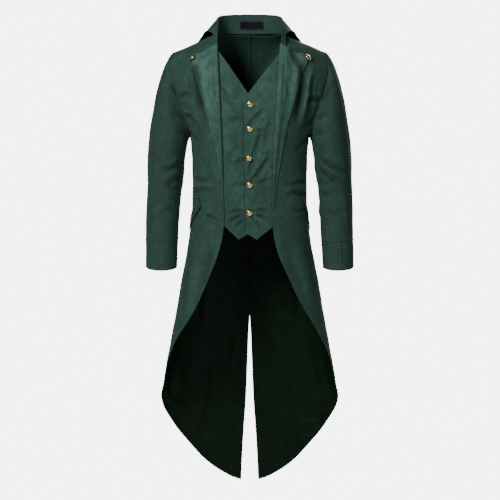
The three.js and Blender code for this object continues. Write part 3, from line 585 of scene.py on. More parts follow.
@dataclass
class CoatForm:
    """The worn form that every panel of the body lies on, in millimetres.

    A place on it is a turn round the body, in degrees from the centre front and positive towards
    the wearer's left, and a drop below the ridge of the shoulders.
    """

    cloth: float = 2.0
    seam: float = 0.3
    squareness: float = 2.2
    neck_x: float = 88.0
    neck_z: float = 6.0
    shoulder_slope: float = 0.44
    nape_rise: float = 0.18
    nape_drop: float = 17.0
    ridge_y: float = 8.0
    roll_front: float = 95.0
    roll_back: float = 110.0
    shoulder_width: float = 228.0
    armpit_z: float = -275.0
    tip_turn: float = 64.7
    armhole_roundness: float = 4.0
    waist_edge_z: float = -520.0
    side_seam_turn: float = 95.0
    side_seam_shift: float = 120.0
    side_seam_end_z: float = -938.0
    tail_corner_z: float = -987.0
    flute_length: float = 420.0

    def __post_init__(self) -> None:
        """Makes the curves of the body's sections and front edges."""
        heights = [row.z for row in SECTIONS]
        self.half_at = Curve(heights, [row.half for row in SECTIONS])
        self.front_at = Curve(heights, [row.front for row in SECTIONS])
        self.back_at = Curve(heights, [row.back for row in SECTIONS])
        self.vent_at = Curve([row.z for row in VENT_EDGE], [row.x for row in VENT_EDGE])
        self.roll_at = {
            side: Curve([row.z for row in ROLL_LINE], [getattr(row, side.value) for row in ROLL_LINE])
            for side in Side
        }
        self.cutaway_at = {
            side: Curve([row.z for row in CUTAWAY], [getattr(row, side.value) for row in CUTAWAY])
            for side in Side
        }

    def across(self, turn: Array) -> Array:
        """A turn's distance to the side, as a share of the half width."""
        return np.abs(np.sin(np.radians(turn))) ** (2 / self.squareness)

    def along(self, turn: Array) -> Array:
        """A turn's distance forwards or backwards, as a share of the depth."""
        return np.abs(np.cos(np.radians(turn))) ** (2 / self.squareness)

    def turn_for_x(self, x: Array | float, z: Array | float) -> Array:
        """The turn at which a section is x from the middle, on its front half."""
        share = np.clip(np.abs(x) / self.half_at(z), 0, 1) ** (self.squareness / 2)
        return np.degrees(np.arcsin(share)) * np.sign(x)

    def ridge(self, turn: Array | float) -> Array:
        """The height of the shoulder ridge above each turn."""
        x = self.shoulder_width * self.across(turn)
        outside = self.neck_z - self.shoulder_slope * (x - self.neck_x)
        inside = self.neck_z + self.nape_rise * (self.neck_x - x)
        return np.where(x > self.neck_x, outside, inside)

    def flutes(self, turn: Array, z: Array) -> Array:
        """How far the waves of the skirt push the cloth out."""
        total = np.zeros(np.broadcast(turn, z).shape)
        for flute in FLUTES:
            reach = np.clip((flute.top_z - z) / self.flute_length, 0, 1)
            away = (np.abs(turn) - flute.turn) / flute.width
            total = total + flute.depth * reach * np.exp(-(away**2))
        return total

    def point(self, turn: Array | float, drop: Array | float) -> Array:
        """The points of the coat's outer face at some places.

        Args:
            turn: The turns round the body.
            drop: The drops below the ridge.

        Returns:
            Points x, y, z in millimetres.
        """
        turn, drop = np.broadcast_arrays(np.asarray(turn, float), np.asarray(drop, float))
        z = self.ridge(turn) - drop
        is_front = np.cos(np.radians(turn)) > 0
        rest = 1 - np.clip(drop / np.where(is_front, self.roll_front, self.roll_back), 0, 1)
        roll = np.sqrt(1 - rest**2)
        depth = np.where(is_front, -self.front_at(z), self.back_at(z)) * self.along(turn)
        middle = self.ridge_y + np.where(is_front, -self.seam, self.seam)
        swell = 1 + self.flutes(turn, z) / self.half_at(z)
        x = np.sign(np.sin(np.radians(turn))) * self.half_at(z) * self.across(turn) * swell
        return np.stack([x, mix(middle, depth * swell, roll), z], axis=-1)

    def normal(self, turn: Array | float, drop: Array | float) -> Array:
        """The outward directions of the cloth at some places."""
        step = 0.4
        upright = self.point(turn, np.maximum(drop - step, 0)) - self.point(turn, drop + step)
        sideways = self.point(turn + step, drop) - self.point(turn - step, drop)
        return unit(np.cross(sideways, upright))

    def place(self, turn: Array | float, z: Array | float) -> Array:
        """The place turn, drop of a point given by its turn and height."""
        turn, z = np.broadcast_arrays(np.asarray(turn, float), np.asarray(z, float))
        return np.stack([turn, np.maximum(self.ridge(turn) - z, 0)], axis=-1)

    def place_x(self, x: Array | float, z: Array | float) -> Array:
        """The place of a point on the front given by its x and height."""
        return self.place(self.turn_for_x(x, z), z)

    def armhole(self, angle: Array, is_back: bool) -> Array:
        """Places down one half of the armhole, from the shoulder tip at 0 to the armpit at 180."""
        share = (1 - np.cos(np.radians(angle))) / 2
        reach = np.sqrt(np.maximum(1 - share**self.armhole_roundness, 0))
        turn = 90 - (90 - self.tip_turn) * reach
        place = self.place(turn, mix(self.ridge(self.tip_turn), self.armpit_z, share))
        if is_back:
            place[..., 0] = 180 - place[..., 0]
        return place

    def side_seam(self, z: Array) -> Array:
        """The turn of the side seam at each height."""
        return mix(90, self.side_seam_turn, np.clip((self.armpit_z - z) / self.side_seam_shift, 0, 1))

    def half_gap(self, z: Array) -> Array:
        """Half of a seam's gap, in degrees of turn."""
        return np.degrees(0.83 * self.seam / self.half_at(z))

    def front_edge(self, side: Side, z: Array) -> Array:
        """The turn of a coat front's free edge at each height."""
        straight = self.turn_for_x(self.roll_at[side](z), z)
        return np.where(z > self.waist_edge_z, straight, self.cutaway_at[side](z))

    def route(self, places: Sequence[tuple[float, float]], by_x: bool) -> Array:
        """A crease's route over the form.

        Args:
            places: The places it runs through, as x or turn and height.
            by_x: True if the first of each pair is x.

        Returns:
            Close points along it.
        """
        first, z = close_places(places)
        turn = self.turn_for_x(first, z) if by_x else first
        return self.point(turn, np.maximum(self.ridge(turn) - z, 0))

    def folds(self, creases: Sequence[Crease], by_x: bool) -> list[Fold]:
        """The creases laid on the form."""
        return [
            Fold(self.route(c.places, by_x), FOLD_STRENGTH * c.depth, c.width, c.fade_in, c.fade_out)
            for c in creases
        ]


FORM = CoatForm()


# Cloth


@dataclass
class Cloth:
    """A grid of points on a cloth's outer face, in millimetres.

    Attributes:
        points: The points, row by row.
        normals: The direction out of the cloth at each point.
        shift: How far folds have moved each point outwards.
    """

    points: Array
    normals: Array
    shift: Array

    @property
    def weave(self) -> Array:
        """Each point's place in the cloth, across and down, measured along the grid."""
        across = np.linalg.norm(np.diff(self.points, axis=1), axis=-1)
        down = np.linalg.norm(np.diff(self.points, axis=0), axis=-1)
        x = np.concatenate([np.zeros((len(across), 1)), np.cumsum(across, axis=1)], axis=1)
        y = np.concatenate([np.zeros((1, down.shape[1])), np.cumsum(down, axis=0)], axis=0)
        x = x - x[:, -1:] / 2
        return np.stack([x, y, np.zeros_like(x)], axis=-1)

    def reversed(self) -> "Cloth":
        """The same cloth with its columns in the other order."""
        return Cloth(self.points[:, ::-1], self.normals[:, ::-1], self.shift[:, ::-1])

    def facing_out(self) -> "Cloth":
        """The cloth with its columns in the order that makes its faces point outwards."""
        i, j = self.points.shape[0] // 2, self.points.shape[1] // 2
        down = self.points[i + 1, j] - self.points[i, j]
        over = self.points[i, j + 1] - self.points[i, j]
        return self if np.cross(down, over) @ self.normals[i, j] > 0 else self.reversed()

    def area(self) -> float:
        """The area of the outer face, in square metres."""
        a = self.points[1:, :-1] - self.points[:-1, :-1]
        b = self.points[:-1, 1:] - self.points[:-1, :-1]
        return float(np.linalg.norm(np.cross(a, b), axis=-1).sum()) * MM * MM


def boundary(rows: int, columns: int) -> Array:
    """The grid's outline as one closed ring of point numbers, along the first row first."""
    grid = np.arange(rows * columns).reshape(rows, columns)
    return np.concatenate([grid[0, :-1], grid[:-1, -1], grid[-1, :0:-1], grid[:0:-1, 0]])


def rim_directions(points: Array) -> Array:
    """For each point of a grid's outline, the direction that leads off the cloth's edge."""
    out = np.zeros_like(points)
    out[0] += unit(points[0] - points[1])
    out[-1] += unit(points[-1] - points[-2])
    out[:, 0] += unit(points[:, 0] - points[:, 1])
    out[:, -1] += unit(points[:, -1] - points[:, -2])
    return unit(out.reshape(-1, 3)[boundary(*points.shape[:2])])


def shell(name: str, cloth: Cloth, thick: float, rim: float = 0.4) -> Piece:
    """Makes the cloth a closed wall with a rounded edge.

    Args:
        name: The object's name.
        cloth: The outer face.
        thick: The wall's thickness in millimetres.
        rim: How far the edge bulges, as a share of the thickness.

    Returns:
        The mesh object, in metres, with the weave and the fold depth as attributes.
    """
    cloth = cloth.facing_out()
    rows, columns = cloth.points.shape[:2]
    count = rows * columns
    outer = cloth.points.reshape(-1, 3)
    inner = (cloth.points - thick * cloth.normals).reshape(-1, 3)
    ring = boundary(rows, columns)
    edge = (outer[ring] + inner[ring]) / 2 + rim * thick * rim_directions(cloth.points)
    grid = np.arange(count).reshape(rows, columns)
    quads = np.stack([grid[:-1, :-1], grid[1:, :-1], grid[1:, 1:], grid[:-1, 1:]], axis=-1).reshape(-1, 4)
    after = np.roll(ring, -1)
    middle = 2 * count + np.arange(len(ring))
    middle_after = np.roll(middle, -1)
    faces = np.concatenate(
        [
            quads,
            quads[:, ::-1] + count,
            np.stack([ring, after, middle_after, middle], axis=-1),
            np.stack([middle, middle_after, after + count, ring + count], axis=-1),
        ]
    )
    weave = cloth.weave.reshape(-1, 3)
    shift = cloth.shift.reshape(-1)
    return mesh_object(
        name,
        np.concatenate([outer, inner, edge]),
        faces,
        np.concatenate([weave, weave, weave[ring]]),
        np.concatenate([shift, shift, shift[ring]]),
    )


def mesh_object(
    name: str, vertices: Array, faces: Array, weave: Array | None = None, shift: Array | None = None
) -> Piece:
    """Makes a smooth mesh object from points in millimetres.

    Args:
        name: The object's name.
        vertices: The points, in millimetres.
        faces: The corners of each face.
        weave: Each point's place in the cloth, in millimetres.
        shift: How far folds have moved each point, in millimetres.

    Returns:
        The new object, linked to the scene.
    """
    mesh = bpy.data.meshes.new(name)
    mesh.from_pydata((vertices * MM).tolist(), [], faces.tolist())
    mesh.polygons.foreach_set("use_smooth", np.ones(len(mesh.polygons), bool))
    if weave is not None:
        layer = mesh.attributes.new(WEAVE, "FLOAT_VECTOR", "POINT")
        layer.data.foreach_set("vector", (weave * MM).astype(np.float32).ravel())
    if shift is not None:
        layer = mesh.attributes.new(FOLD, "FLOAT", "POINT")
        layer.data.foreach_set("value", shift.astype(np.float32))
    mesh.update()
    made = bpy.data.objects.new(name, mesh)
    bpy.context.scene.collection.objects.link(made)
    return made


@dataclass(frozen=True)
class Panel:
    """A piece of cloth between four edges, each a function from shares to places on the form."""

    top: Edge
    bottom: Edge
    inner: Edge
    outer: Edge

    def places(self, s: Array, t: Array) -> Array:
        """The places of a grid over the panel.

        Args:
            s: Shares from the inner edge to the outer one.
            t: Shares from the top to the bottom.

        Returns:
            A place turn, drop for each row t and column s.
        """
        ends = np.array([0.0, 1.0])
        corners_top, corners_bottom = self.top(ends), self.bottom(ends)
        across, down = s[None, :, None], t[:, None, None]
        sides = mix(self.inner(t)[:, None], self.outer(t)[:, None], across)
        caps = mix(self.top(s)[None], self.bottom(s)[None], down)
        corners = mix(
            mix(corners_top[0], corners_top[1], across),
            mix(corners_bottom[0], corners_bottom[1], across),
            down,
        )
        places = sides + caps - corners
        places[..., 1] = np.maximum(places[..., 1], 0)
        return places


def lay(
    places: Array, lift: Array | float, folds: Sequence[Fold], own: Sequence[Fold] = (), inward: bool = False
) -> Cloth:
    """Lays a grid of places on the form.

    Args:
        places: The places, turn and drop.
        lift: How far outside the coat's outer face the cloth lies.
        folds: The folds of the coat at this place, which layers share.
        own: The folds of this layer alone.
        inward: True if this layer's own folds only move it into the hollow.

    Returns:
        The cloth.
    """
    turn, drop = places[..., 0], places[..., 1]
    base = FORM.point(turn, drop)
    normals = FORM.normal(turn, drop)
    shift = settled(base, folds)
    extra = fold_shift(base, own)
    if inward:
        extra = np.minimum(extra, 0)
    shift = shift + extra
    return Cloth(base + (lift + shift)[..., None] * normals, normals, shift)


# Finishes


def linear(code: str) -> tuple[float, float, float, float]:
    """A colour of six hexadecimal digits as linear red, green, blue and a full alpha."""
    parts = [int(code[i : i + 2], 16) / 255 for i in (0, 2, 4)]
    red, green, blue = (p / 12.92 if p <= 0.04045 else ((p + 0.055) / 1.055) ** 2.4 for p in parts)
    return red, green, blue, 1.0


class Wire:
    """An output socket of a shader; arithmetic with it adds Math nodes."""

    def __init__(self, shader: "Shader", socket: Socket) -> None:
        """Keeps the socket and the shader it belongs to."""
        self.shader = shader
        self.socket = socket

    def _math(self, operation: str, first: "Wire | float", second: "Wire | float") -> "Wire":
        """One Math node."""
        return self.shader.wire("ShaderNodeMath", {"operation": operation}, {0: first, 1: second})

    def __add__(self, other: "Wire | float") -> "Wire":
        """This value plus another."""
        return self._math("ADD", self, other)

    def __radd__(self, other: float) -> "Wire":
        """A number plus this value."""
        return self._math("ADD", other, self)

    def __sub__(self, other: "Wire | float") -> "Wire":
        """This value less another."""
        return self._math("SUBTRACT", self, other)

    def __rsub__(self, other: float) -> "Wire":
        """A number less this value."""
        return self._math("SUBTRACT", other, self)

    def __mul__(self, other: "Wire | float") -> "Wire":
        """This value times another."""
        return self._math("MULTIPLY", self, other)

    def __rmul__(self, other: float) -> "Wire":
        """A number times this value."""
        return self._math("MULTIPLY", other, self)


class Shader:
    """A material whose nodes are made by calls."""

    def __init__(self, name: str) -> None:
        """Starts an empty material of that name."""
        self.material = bpy.data.materials.new(name)
        self.material.use_nodes = True
        self.tree = self.material.node_tree
        self.tree.nodes.clear()

    @staticmethod
    def _pick(sockets: bpy.types.bpy_prop_collection, key: int | str) -> Socket:
        """The socket of that number, or the one in use that has that name."""
        if isinstance(key, int):
            return sockets[key]
        return next(socket for socket in sockets if socket.name == key and socket.enabled)

    def node(
        self, kind: str, settings: dict[str, object], sockets: dict[int | str, object]
    ) -> bpy.types.Node:
        """Adds a node.

        Args:
            kind: The node's type.
            settings: Its settings, and under "stops" a ramp's places and colours.
            sockets: A value or a wire for each socket that is set.

        Returns:
            The node.
        """
        made = self.tree.nodes.new(kind)
        for name, value in settings.items():
            if name == "stops":
                self._set_stops(made.color_ramp, value)
            else:
                setattr(made, name, value)
        for key, value in sockets.items():
            socket = self._pick(made.inputs, key)
            if isinstance(value, Wire):
                self.tree.links.new(value.socket, socket)
            else:
                socket.default_value = value
        return made

    def wire(
        self,
        kind: str,
        settings: dict[str, object] | None = None,
        sockets: dict[int | str, object] | None = None,
        output: int | str = 0,
    ) -> Wire:
        """Adds a node and gives one of its outputs."""
        made = self.node(kind, settings or {}, sockets or {})
        return Wire(self, self._pick(made.outputs, output))

    @staticmethod
    def _set_stops(ramp: bpy.types.ColorRamp, stops: Sequence[tuple[float, str]]) -> None:
        """Gives a ramp its places and colours."""
        while len(ramp.elements) < len(stops):
            ramp.elements.new(1.0)
        for element, (place, code) in zip(ramp.elements, stops):
            element.position = place
            element.color = linear(code)

    def here(self) -> Wire:
        """The place on the piece, in metres."""
        return self.wire("ShaderNodeTexCoord", output="Object")

    def attribute(self, name: str, output: str) -> Wire:
        """A value that the mesh carries."""
        return self.wire("ShaderNodeAttribute", {"attribute_name": name}, output=output)

    def stretched(self, vector: Wire, scale: tuple[float, float, float]) -> Wire:
        """A vector with each part multiplied."""
        return self.wire("ShaderNodeVectorMath", {"operation": "MULTIPLY"}, {0: vector, 1: scale})

    def noise(self, vector: Wire, scale: float, detail: float = 2.0, roughness: float = 0.5) -> Wire:
        """Soft noise from 0 to 1, with its main grain 1 / scale metres wide."""
        sockets = {"Vector": vector, "Scale": scale, "Detail": detail, "Roughness": roughness}
        return self.wire("ShaderNodeTexNoise", {}, sockets, output=0)

    def ramp(self, value: Wire, stops: Sequence[tuple[float, str]]) -> Wire:
        """A colour for each value."""
        return self.wire("ShaderNodeValToRGB", {"stops": stops}, {0: value})

    def blend(self, share: Wire | float, first: Wire, second: Wire | tuple[float, ...]) -> Wire:
        """A mix of two colours."""
        sockets = {"Factor": share, "A": first, "B": second}
        return self.wire("ShaderNodeMix", {"data_type": "RGBA"}, sockets, "Result")

    def bump(self, height: Wire, distance: float, strength: float) -> Wire:
        """The surface's direction over a relief.

        Args:
            height: The relief, from 0 to 1.
            distance: Its real height in metres.
            strength: How strongly it is felt.

        Returns:
            The bent normal.
        """
        return self.wire("ShaderNodeBump", {}, {"Height": height, "Distance": distance, "Strength": strength})

    def finish(self, sockets: dict[int | str, object]) -> Finish:
        """Ends the material in one surface shader with these values."""
        surface = self.wire("ShaderNodeBsdfPrincipled", {}, sockets)
        self.node("ShaderNodeOutputMaterial", {}, {"Surface": surface})
        return self.material


@dataclass(frozen=True)
class NappedWool:
    """The coat's brushed wool: a mottled nap with a soft sheen, with painted shade down in its folds, painted
    highlight on their ridges, and painted light that grows with height.
    """

    name: str = "napped_wool"
    dark: str = "121f1a"
    middle: str = "20362f"
    light: str = "38554c"
    # the base tone, which the lighter and darker copies of the wool move as painted light and shade
    tone: float = 0.46
    # how much lighter the cloth is painted the higher it lies: painted light from above
    tone_rise: float = 0.0
    mottle_scale: float = 42.0
    brush_scale: float = 160.0
    nap_scale: float = 1100.0
    # how much darker the troughs and lighter the ridges are painted: painted shade and painted highlight
    # along the folds
    fold_tone: float = 0.03
    mottle_weight: float = 0.3
    brush_weight: float = 0.22
    nap_weight: float = 0.35
    nap_height: float = 0.0005

    def material(self) -> Finish:
        """Builds the material."""
        shader = Shader(self.name)
        here = shader.here()
        weave = shader.attribute(WEAVE, "Vector")
        mottle = shader.noise(here, self.mottle_scale, 5.0, 0.62)
        brush = shader.noise(shader.stretched(weave, (1.0, 0.35, 1.0)), self.brush_scale, 3.0, 0.6)
        nap = shader.noise(here, self.nap_scale, 2.0, 0.6)
        fold = shader.attribute(FOLD, "Fac")
        grain = (
            (mottle - 0.5) * self.mottle_weight
            + (brush - 0.5) * self.brush_weight
            + (nap - 0.5) * self.nap_weight
        )
        height = shader.wire("ShaderNodeSeparateXYZ", {}, {0: here}, "Z")
        # painted light by height, and painted shade and highlight by fold depth, are added to the grain's own
        # tone
        tone = height * self.tone_rise + self.tone + grain + fold * self.fold_tone
        colour = shader.ramp(tone, ((0.22, self.dark), (0.5, self.middle), (0.78, self.light)))
        relief = nap * 0.6 + brush * 0.4
        return shader.finish(
            {
                "Base Color": colour,
                "Roughness": 0.82 + nap * 0.15,
                "Normal": shader.bump(relief, self.nap_height, 0.7),
                "Specular IOR Level": 0.12,
                "Sheen Weight": 0.06,
                "Sheen Roughness": 0.4,
                "Sheen Tint": linear("9fc4b8"),
            }
        )


@dataclass(frozen=True)
class Satin:
    """The lining's dark satin, whose fine warp runs down the cloth."""

    dark: str = "020c04"
    light: str = "06160a"
    yoke: str = "263c34"
    yoke_z: float = -0.2
    yoke_pace: float = 4.5
    warp_scale: float = 900.0
    cloud_scale: float = 26.0

    def material(self) -> Finish:
        """Builds the material."""
        shader = Shader("lining_satin")
        here = shader.here()
        weave = shader.attribute(WEAVE, "Vector")
        warp = shader.noise(shader.stretched(weave, (1.0, 0.04, 1.0)), self.warp_scale, 2.0)
        cloud = shader.noise(here, self.cloud_scale, 3.0)
        satin = shader.ramp(cloud * 0.7 + warp * 0.3, ((0.3, self.dark), (0.7, self.light)))
        height = shader.wire("ShaderNodeSeparateXYZ", {}, {0: here}, "Z")
        colour = shader.blend((height - self.yoke_z) * self.yoke_pace, satin, linear(self.yoke))
        return shader.finish(
            {
                "Base Color": colour,
                "Roughness": 0.42 + cloud * 0.12,
                "Normal": shader.bump(warp, 0.00012, 0.4),
                "Specular IOR Level": 0.05,
            }
        )


@dataclass(frozen=True)
class Brass:
    """The buttons' worn brass, in random brighter and duller patches."""

    bright: str = "e2c883"
    dull: str = "7d622f"

    def material(self) -> Finish:
        """Builds the material."""
        shader = Shader("button_brass")
        here = shader.here()
        cloud = shader.noise(here, 260.0, 4.0, 0.6)
        scratch = shader.noise(shader.stretched(here, (1.0, 1.0, 6.0)), 900.0, 2.0)
        wear = cloud * 0.6 + scratch * 0.4
        return shader.finish(
            {
                "Base Color": shader.ramp(wear, ((0.3, self.dull), (0.62, self.bright))),
                "Metallic": 1.0,
                "Roughness": 0.16 + cloud * 0.16,
                "Normal": shader.bump(wear, 0.0001, 0.4),
            }
        )


@dataclass(frozen=True)
class WovenLabel:
    """The bare label's close dark weave."""

    dark: str = "06070b"
    light: str = "10111a"

    def material(self) -> Finish:
        """Builds the material."""
        shader = Shader("label_weave")
        here = shader.here()
        rib = shader.noise(shader.stretched(here, (0.3, 1.0, 2.6)), 1400.0, 2.0)
        cloud = shader.noise(here, 90.0, 3.0)
        return shader.finish(
            {
                "Base Color": shader.ramp(rib * 0.6 + cloud * 0.4, ((0.3, self.dark), (0.7, self.light))),
                "Roughness": 0.75 + rib * 0.2,
                "Normal": shader.bump(rib, 0.0002, 0.6),
                "Specular IOR Level": 0.08,
            }
        )


@dataclass(frozen=True)
class Thread:
    """Sewing thread, twisted and a little glossy."""

    name: str
    dark: str
    light: str

    def material(self) -> Finish:
        """Builds the material."""
        shader = Shader(self.name)
        twist = shader.noise(shader.here(), 2400.0, 2.0)
        return shader.finish(
            {
                "Base Color": shader.ramp(twist, ((0.3, self.dark), (0.7, self.light))),
                "Roughness": 0.5 + twist * 0.2,
                "Normal": shader.bump(twist, 0.0001, 0.5),
            }
        )


@dataclass(frozen=True)
class Finishes:
    """Every material of the coat."""

    wool: Finish
    # lighter copies of the wool paint light onto the lapels and waistcoat, a darker copy paints shade onto
    # the sleeves
    lapel_wool: Finish
    waistcoat_wool: Finish
    sleeve_wool: Finish
    satin: Finish
    brass: Finish
    label: Finish
    thread: Finish
    pale_thread: Finish


def make_finishes() -> Finishes:
    """Builds the coat's materials."""
    return Finishes(
        wool=NappedWool().material(),
        # the lapel and waistcoat copies are painted lighter and lighter towards the top, the sleeve copy
        # darker: painted light and shade
        lapel_wool=NappedWool("lapel_wool", tone=0.65, tone_rise=0.42).material(),
        waistcoat_wool=NappedWool("waistcoat_wool", tone=0.58, tone_rise=0.2).material(),
        sleeve_wool=NappedWool("sleeve_wool", tone=0.42).material(),
        satin=Satin().material(),
        brass=Brass().material(),
        label=WovenLabel().material(),
        thread=Thread("green_thread", "21443a", "3d6d60").material(),
        pale_thread=Thread("label_thread", "4a4c58", "73768a").material(),
    )


# Pieces


@dataclass(frozen=True)
class Cut:
    """The flat cut of a piece of cloth: its width, length and area, in metres."""

    width: float
    length: float
    area: float


def put(piece: Piece, material: Finish, node: str | None = None) -> Piece:
    """Dresses a finished piece and gives it its place in the frame.

    Args:
        piece: The piece.
        material: Its material.
        node: The solid that it stands for.

    Returns:
        The piece.
    """
    piece.data.materials.clear()
    piece.data.materials.append(material)
    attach(piece, BODY)
    if node is not None:
        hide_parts(node)
    log.info("%s: %d faces", piece.name, len(piece.data.polygons))
    return piece


def put_cloth(
    node: str,
    cloth: Cloth,
    thick: float,
    material: Finish,
    cut: Cut,
) -> Piece:
    """Makes a cloth piece that stands for a solid, and states the cut it was made from.

    Args:
        node: The solid's name.
        cloth: The outer face.
        thick: The wall's thickness in millimetres.
        material: Its material.
        cut: The flat cut.

    Returns:
        The piece.
    """
    piece = put(shell(f"{node}_cloth", cloth, thick), material, node)
    log.info("%s: outer face %.4f m2, cut %.4f m2", piece.name, cloth.area(), cut.area)
    return piece


def put_pair(part: str, face: Callable[[Side], Cloth], material: Finish, cut: Cut) -> list[Piece]:
    """Makes a cloth piece for each side, lying on that side's coat front.

    Args:
        part: The solids' name without its side.
        face: Gives a side's outer face.
        material: The material of both.
        cut: The flat cut of each.

    Returns:
        Both pieces.
    """
    return [
        put_cloth(
            f"{part}_{side.value}",
            face(side),
            FORM.cloth,
            material,
            cut,
        )
        for side in Side
    ]


@dataclass
class SeamGroove:
    """How the cloth dips along a seam."""

    depth: float = 0.9
    width: float = 2.6

    def along(self, route: Array) -> Fold:
        """The groove along a row of points."""
        step = max(1, len(route) // 40)
        return Fold(np.concatenate([route[:-1:step], route[-1:]]), self.depth, self.width)


@dataclass
class CoatBody:
    """The coat's fronts, backs with their tails, and the lining of the backs."""

    finishes: Finishes
    pit_share: float = 0.44
    corner_share: float = 0.93
    neck_share: float = 0.3
    lining: float = 1.0
    lining_hem: float = 0.9975
    lining_edge: float = 0.993
    front_cut: Cut = Cut(0.25, 0.96, 0.125)
    back_cut: Cut = Cut(0.43, 1.25, 0.268)
    lining_cut: Cut = Cut(0.42, 1.22, 0.248)
    groove: SeamGroove = field(default_factory=SeamGroove)
    armhole_groove: SeamGroove = field(default_factory=lambda: SeamGroove(0.5, 3.5))
    folds: list[Fold] = field(default_factory=list)

    def front_panel(self, side: Side) -> Panel:
        """A coat front, from its free edge to the armhole and side seam."""
        neck = FORM.turn_for_x(FORM.neck_x, FORM.neck_z)

        def top(s: Array) -> Array:
            """The shoulder seam."""
            return np.stack([mix(neck, FORM.tip_turn, s), np.zeros_like(s)], axis=-1)

        def inner(t: Array) -> Array:
            """The front edge and the cutaway."""
            above = mix(FORM.neck_z, FORM.armpit_z, np.clip(t / self.pit_share, 0, 1) ** 1.6)
            below = mix(FORM.armpit_z, FORM.side_seam_end_z, (t - self.pit_share) / (1 - self.pit_share))
            z = np.where(t < self.pit_share, above, below)
            return FORM.place(FORM.front_edge(side, z), z)

        def outer(t: Array) -> Array:
            """The armhole and the side seam."""
            hole = FORM.armhole(180 * np.clip(t / self.pit_share, 0, 1), False)
            share = np.clip((t - self.pit_share) / (1 - self.pit_share), 0, 1)
            z = mix(FORM.armpit_z, FORM.side_seam_end_z, share)
            seam = FORM.place(FORM.side_seam(z) - FORM.half_gap(z), z)
            return np.where((t <= self.pit_share)[:, None], hole, seam)

        def bottom(s: Array) -> Array:
            """The point where the cutaway meets the side seam."""
            end = np.array([1.0])
            return FORM.place(mix(inner(end)[0, 0], outer(end)[0, 0], s), FORM.side_seam_end_z)

        return Panel(top, bottom, inner, outer)

    def back_panel(self, side: Side) -> Panel:
        """A coat back, from the centre seam and vent to the armhole, side seam and tail corner."""
        neck = 180 - FORM.turn_for_x(FORM.neck_x, FORM.neck_z)
        centre = 180 - FORM.turn_for_x(FORM.vent_at(0), 0)
        shares = np.linspace(0, 1, len(TAIL_HEM))
        hem_x = Curve(shares, [point.x for point in TAIL_HEM])
        hem_z = Curve(shares, [point.z for point in TAIL_HEM])

        def top(s: Array) -> Array:
            """The nape and the shoulder seam."""
            nape = mix(centre, neck, np.clip(s / self.neck_share, 0, 1))
            reach = FORM.shoulder_width * FORM.across(nape) / FORM.neck_x
            shoulder = mix(neck, 180 - FORM.tip_turn, (s - self.neck_share) / (1 - self.neck_share))
            on_nape = s <= self.neck_share
            drop = np.where(on_nape, FORM.nape_drop * (1 - reach**2), 0)
            return np.stack([np.where(on_nape, nape, shoulder), np.maximum(drop, 0)], axis=-1)

        def inner(t: Array) -> Array:
            """The centre seam and the vent's edge."""
            nape_z = FORM.ridge(180.0) - FORM.nape_drop
            above = mix(nape_z, FORM.armpit_z, np.clip(t / self.pit_share, 0, 1) ** 1.3)
            below = mix(FORM.armpit_z, TAIL_HEM[0].z, (t - self.pit_share) / (1 - self.pit_share))
            z = np.where(t < self.pit_share, above, below)
            return FORM.place(180 - FORM.turn_for_x(FORM.vent_at(z), z), z)

        def outer(t: Array) -> Array:
            """The armhole, the side seam and the tail's free edge."""
            hole = FORM.armhole(180 * np.clip(t / self.pit_share, 0, 1), True)
            seam_share = np.clip((t - self.pit_share) / (self.corner_share - self.pit_share), 0, 1)
            free_share = np.clip((t - self.corner_share) / (1 - self.corner_share), 0, 1)
            z = mix(FORM.armpit_z, FORM.side_seam_end_z, seam_share)
            z = z + (FORM.tail_corner_z - FORM.side_seam_end_z) * free_share
            seam = FORM.side_seam(z) + FORM.half_gap(z)
            edge = np.maximum(seam, FORM.front_edge(side, z))
            turn = np.where(z < FORM.side_seam_end_z, edge, seam)
            return np.where((t <= self.pit_share)[:, None], hole, FORM.place(turn, z))

        def bottom(s: Array) -> Array:
            """The hem of the tail."""
            return FORM.place(180 - FORM.turn_for_x(hem_x(s), hem_z(s)), hem_z(s))

        return Panel(top, bottom, inner, outer)

    def grid(self, panel: Panel, side: Side, s: Array, t: Array) -> Array:
        """A panel's grid of places, on the wearer's side that it belongs to."""
        return panel.places(s, t) * side.flip

    @staticmethod
    def trimmed(shares: Array, first: float, last: float) -> Array:
        """The shares between a new first and last one."""
        kept = shares[(shares > first + 0.002) & (shares < last - 0.002)]
        return np.concatenate([[first], kept, [last]])

    def seams(self, side: Side) -> list[Fold]:
        """The grooves along the seams of one side, the armhole's among them."""
        ends, t = np.array([0.0, 1.0]), np.linspace(0, 1, 81)
        front = self.grid(self.front_panel(side), side, ends, t)
        back = self.grid(self.back_panel(side), side, ends, t)
        centre = back[:, 0]
        closed = centre[FORM.ridge(centre[:, 0]) - centre[:, 1] > VENT_EDGE[0].z]
        angles = np.linspace(0, 180, 41)
        holes = [FORM.armhole(angles, is_back) * side.flip for is_back in (False, True)]
        sewn = [self.groove.along(FORM.point(route[:, 0], route[:, 1])) for route in (front[:, 1], closed)]
        soft = [self.armhole_groove.along(FORM.point(route[:, 0], route[:, 1])) for route in holes]
        return sewn + soft

    def build(self) -> list[Piece]:
        """Makes the fronts, the backs and the linings."""
        self.folds = FORM.folds(FRONT_CREASES, True) + FORM.folds(BACK_CREASES, False)
        for side in Side:
            self.folds += self.seams(side)
        return [piece for side in Side for piece in self.build_side(side)]

